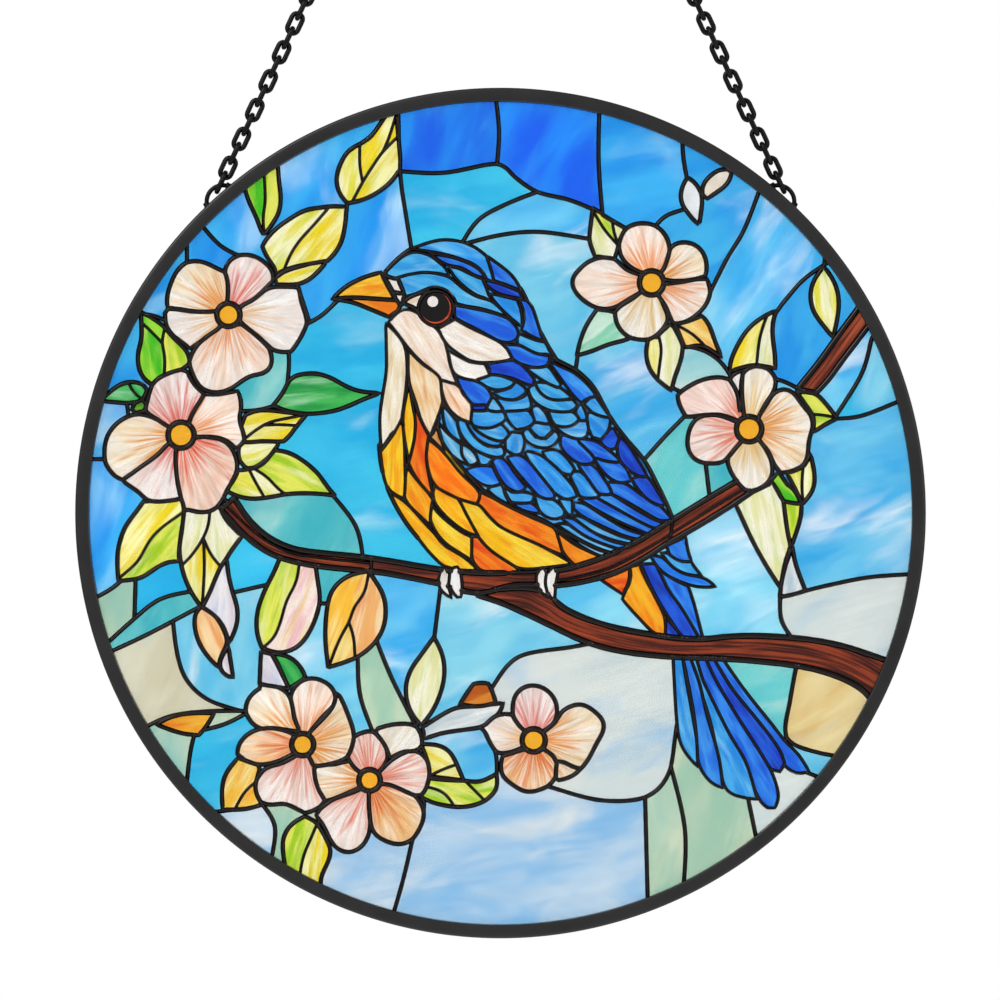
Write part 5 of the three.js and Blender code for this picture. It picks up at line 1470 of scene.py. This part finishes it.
half_section = (eased_corner(RIM_OUTER, RIM_HALF_DEPTH, 1, 1, RIM_EASE)
                + list(reversed(eased_corner(RIM_INNER, RIM_HALF_DEPTH, -1, 1, 0.5 * RIM_EASE)))
                + [(RIM_INNER, LIP_INSIDE), (GROOVE_BOTTOM, LIP_INSIDE)])
rim_section = half_section + [(r, -y) for r, y in reversed(half_section)]
places, faces = [], []
for step in range(RIM_STEPS):
    turn = math.tau * step / RIM_STEPS
    places += [in_frame(r * math.cos(turn), y, r * math.sin(turn)) for r, y in rim_section]
size = len(rim_section)
for step in range(RIM_STEPS):
    first, second = step * size, (step + 1) % RIM_STEPS * size
    faces += [(first + k, first + (k + 1) % size, second + (k + 1) % size, second + k) for k in range(size)]
rim = new_piece("rim_channel", places, faces, powder_coat(), smooth=True)
rim.data.set_sharp_from_angle(angle=math.radians(40))
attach(rim, "root")
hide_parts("rim")

# Hanger loops: a half ring of round steel wire on each shoulder of the rim, brazed on by its two feet

LOOP_RADIUS, LOOP_WIRE = 5.7, 0.8  # of the bend, and of the wire
LOOP_AT, LOOP_ANGLE = 147.3, 48.3  # from the panel's middle to the bend's, and its slope in degrees
LOOP_REACH = 62  # degrees from its top to each foot, in the rim's outer face
LOOP_STEPS, LOOP_SIDES = 28, 16
FILLET = ((1.75, 0.0), (1.35, 0.3), (1.02, 0.8), (0.86, 1.5))  # the braze's radius at each height
FILLET_SINK = 0.15  # how far the braze starts inside the rim


def black_iron(name, mark_size):
    """Black oxide on steel wire, oiled: nearly black, with a soft sheen and drawing marks along it."""
    material, shader = new_material(name)
    wire = material.node_tree.links.new
    spot = add(material, "ShaderNodeTexCoord").outputs["Object"]
    marks = add(material, "ShaderNodeTexNoise", values={"Scale": 1 / mark_size, "Detail": 4.0},
                links={"Vector": spot})
    tone = add(material, "ShaderNodeMix", values={6: linear("#050506"), 7: linear("#151517")},
               links={"Factor": marks.outputs[0]}, data_type="RGBA")
    wire(tone.outputs[2], shader.inputs["Base Color"])
    gloss = add(material, "ShaderNodeMapRange", values={3: 0.28, 4: 0.5}, links={0: marks.outputs[0]})
    wire(gloss.outputs["Result"], shader.inputs["Roughness"])
    bump = add(material, "ShaderNodeBump", values={"Strength": 0.25, "Distance": 0.06 * MM},
               links={"Height": marks.outputs[0]})
    wire(bump.outputs["Normal"], shader.inputs["Normal"])
    shader.inputs["Metallic"].default_value = 0.6
    return material


def bent_wire(line, flat, radius, closed, around=12):
    """Places and faces of a round wire bent along a line, in millimetres. `flat` is square to the bends."""
    places, faces = [], []
    count = len(line)
    for i, spot in enumerate(line):
        before = line[i - 1] if closed or i > 0 else spot
        after = line[(i + 1) % count] if closed or i < count - 1 else spot
        out = (after - before).normalized().cross(flat)
        for k in range(around):
            turn = math.tau * k / around
            place = spot + radius * (out * math.cos(turn) + flat * math.sin(turn))
            places.append(tuple(place * MM))
    for i in range(count if closed else count - 1):
        first, second = i * around, (i + 1) % count * around
        faces += [(first + k, second + k, second + (k + 1) % around, first + (k + 1) % around)
                  for k in range(around)]
    if not closed:
        faces.append(list(range(around)))
        faces.append(list(reversed(range((count - 1) * around, count * around))))
    return places, faces


def arc(centre, first_axis, second_axis, radius, start, end, steps):
    """Places along a part of a circle."""
    return [centre + radius * (first_axis * math.cos(turn) + second_axis * math.sin(turn))
            for turn in (start + (end - start) * i / steps for i in range(steps + 1))]


FACING = Vector((0, 1, 0))  # square to the panel
ACROSS, UP = Vector((1, 0, 0)), Vector((0, 0, 1))
MIDDLE = -PANEL_DROP * UP
wire_iron = black_iron("black_oxide_wire", 2.5 * MM)
for side, name in ((-1, "left"), (1, "right")):
    lean = math.radians(LOOP_ANGLE)
    outward = side * math.cos(lean) * ACROSS + math.sin(lean) * UP
    sideways = FACING.cross(outward)
    centre = MIDDLE + LOOP_AT * outward
    reach = math.radians(LOOP_REACH)
    bow = arc(centre, outward, sideways, LOOP_RADIUS, -reach, reach, LOOP_STEPS)
    places, faces = bent_wire(bow, FACING, LOOP_WIRE, False, LOOP_SIDES)
    for foot in (bow[0], bow[-1]):
        away = (foot - MIDDLE).normalized()
        root = MIDDLE + (RIM_OUTER - FILLET_SINK) * away
        along = FACING.cross(away)
        base = len(places)
        for spread, height in FILLET:
            for k in range(LOOP_SIDES):
                turn = math.tau * k / LOOP_SIDES
                spot = root + height * away + spread * (along * math.cos(turn) + FACING * math.sin(turn))
                places.append(tuple(spot * MM))
        faces.append([base + k for k in range(LOOP_SIDES)])
        faces.append([len(places) - 1 - k for k in range(LOOP_SIDES)])
        for level in range(len(FILLET) - 1):
            low = base + level * LOOP_SIDES
            high = low + LOOP_SIDES
            for k in range(LOOP_SIDES):
                after = (k + 1) % LOOP_SIDES
                faces.append((low + k, high + k, high + after, low + after))
    loop = new_piece("wire_loop_" + name, places, faces, wire_iron, smooth=True)
    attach(loop, "root")
    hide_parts("hanger_loop_" + name)

# Hanging ring: heavier round wire, bent to a ring and welded shut, over the hook

RING_RADIUS, RING_WIRE, RING_DROP = 8, 1.1, 6.9  # of the bend, of the wire, and from the hook to its middle
RING_STEPS, RING_SIDES = 72, 20
ring_line = arc(-RING_DROP * UP, ACROSS, UP, RING_RADIUS, 0, math.tau, RING_STEPS)[:-1]
places, faces = bent_wire(ring_line, FACING, RING_WIRE, True, RING_SIDES)
hoop = new_piece("top_ring", places, faces, wire_iron, smooth=True)
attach(hoop, "root")
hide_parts("hanging_ring")

# Chains: 41 oval links of round wire each, every second one turned a quarter. The lowest hangs in its loop
# and the highest in the ring.

LINKS = 41
LINK_WIRE, LINK_BEND = 0.9, 1.95  # radius of the wire, and of the middle of its bends
LINK_STEPS, LINK_SIDES = 10, 10
LINK_NIP = 0.1  # how far the first and the last link reach past the chain's ends together
FOOT_TURN, FOOT_RADIUS = 68, 4.6  # where on its loop a chain hangs, in degrees and from the loop's centre
HEAD_GAP = 0.3  # from the ring's wire to the last link
chain_iron = black_iron("black_oxide_chain", 1.8 * MM)
for side, name in ((-1, "left"), (1, "right")):
    lean = math.radians(LOOP_ANGLE)
    loop_centre = MIDDLE + LOOP_AT * (side * math.cos(lean) * ACROSS + math.sin(lean) * UP)
    turn = math.radians(FOOT_TURN)
    foot = loop_centre + FOOT_RADIUS * (side * math.cos(turn) * ACROSS + math.sin(turn) * UP)
    ring_centre = -RING_DROP * UP
    along = (ring_centre - foot).normalized()
    head = ring_centre + along * (HEAD_GAP + RING_WIRE - RING_RADIUS)
    pitch = ((head - foot).length + LINK_NIP) / LINKS
    straight = 0.5 * pitch + LINK_WIRE - LINK_BEND
    places, faces = [], []
    for link in range(LINKS):
        centre = foot + along * (pitch * (link + 0.5) - 0.5 * LINK_NIP)
        wide = FACING if link % 2 == 0 else FACING.cross(along)
        flat = along.cross(wide)
        line = (arc(centre + straight * along, wide, along, LINK_BEND, 0, math.pi, LINK_STEPS)
                + arc(centre - straight * along, wide, along, LINK_BEND, math.pi, math.tau, LINK_STEPS))
        more, more_faces = bent_wire(line, flat, LINK_WIRE, True, LINK_SIDES)
        faces += [[i + len(places) for i in one] for one in more_faces]
        places += more
    chain = new_piece("chain_links_" + name, places, faces, chain_iron, smooth=True)
    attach(chain, "root")
    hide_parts("chain_" + name)

# Studio: a plain pale floor well below the panel, a white surround that the glass lets through, one large
# soft light high on the left and a weaker one on the right

scene = bpy.context.scene
FLOOR_HEIGHT, FLOOR_RADIUS = -0.9, 1.2
FLOOR_RINGS, FLOOR_SIDES = 12, 64
floor_rings = [0.02] + [FLOOR_RADIUS * (i + 1) / FLOOR_RINGS for i in range(FLOOR_RINGS)]
places = [(0, 0, FLOOR_HEIGHT)]
for radius in floor_rings:
    places += [(x, y, FLOOR_HEIGHT) for x, y in ring((0, 0), radius, FLOOR_SIDES)]
faces = [(0, 1 + k, 1 + (k + 1) % FLOOR_SIDES) for k in range(FLOOR_SIDES)]
for i in range(FLOOR_RINGS):
    low = 1 + FLOOR_SIDES * i
    high = low + FLOOR_SIDES
    for k in range(FLOOR_SIDES):
        after = (k + 1) % FLOOR_SIDES
        faces.append((low + k, high + k, high + after, low + after))
paper, shader = new_material("pale_studio_paper")
grain = add(paper, "ShaderNodeTexNoise", values={"Scale": 1 / (25 * MM), "Detail": 3.0})
tone = add(paper, "ShaderNodeMix", values={6: linear("#eeeeee"), 7: linear("#f6f6f6")},
           links={"Factor": grain.outputs[0]}, data_type="RGBA")
paper.node_tree.links.new(tone.outputs[2], shader.inputs["Base Color"])
shader.inputs["Roughness"].default_value = 0.9
shader.inputs["Emission Color"].default_value = (1, 1, 1, 1)
shader.inputs["Emission Strength"].default_value = 0.3
floor = new_piece("studio_floor", places, faces, paper)

SEEN_WHITE = 1.0  # the white past the panel
THROUGH_GLASS = 1.28  # the light behind the glass, as strong as a bright window's
SOFT_FILL = 0.34  # the light on every other surface
world = bpy.data.worlds.new("white_studio")
scene.world = world
world.use_nodes = True
backdrop = world.node_tree.nodes["Background"]
path = add(world, "ShaderNodeLightPath")
seen = add(world, "ShaderNodeMath", values={1: SEEN_WHITE - SOFT_FILL, 2: SOFT_FILL},
           links={0: path.outputs["Is Camera Ray"]}, operation="MULTIPLY_ADD")
through = add(world, "ShaderNodeMath", values={1: THROUGH_GLASS - SOFT_FILL},
              links={0: path.outputs["Is Transmission Ray"], 2: seen.outputs[0]},
              operation="MULTIPLY_ADD")
world.node_tree.links.new(through.outputs[0], backdrop.inputs["Strength"])
backdrop.inputs["Color"].default_value = (1, 1, 1, 1)


def soft_light(name, place, size, watts):
    """A square soft box that faces the panel."""
    lamp = bpy.data.lights.new(name, "AREA")
    lamp.size = size
    lamp.energy = watts
    holder = bpy.data.objects.new(name, lamp)
    holder.location = place
    facing = Vector(in_frame(0, 0, 0)) - Vector(place)
    holder.rotation_euler = facing.to_track_quat("-Z", "Y").to_euler()
    scene.collection.objects.link(holder)


soft_light("key_light", (-1.1, -1.5, 0.9), 0.9, 24)
soft_light("fill_light", (1.6, -1.4, 0.1), 1.2, 10)
soft_light("back_light", (0.4, 1.9, 0.6), 1.2, 10)

FRAME_WIDTH = 0.35294  # metres that the photograph is wide at the panel
CAMERA_DISTANCE = 3.0
PHOTO_MIDDLE = (-0.00018, -0.3314)  # where its middle lies on the panel
lens = bpy.data.cameras.new("camera")
lens.sensor_width = 36
lens.lens = lens.sensor_width * CAMERA_DISTANCE / FRAME_WIDTH
camera = bpy.data.objects.new("camera", lens)
camera.location = (PHOTO_MIDDLE[0], -CAMERA_DISTANCE, PHOTO_MIDDLE[1])
camera.rotation_euler = (math.radians(90), 0, 0)
scene.collection.objects.link(camera)
scene.camera = camera
scene.view_settings.view_transform = "Standard"
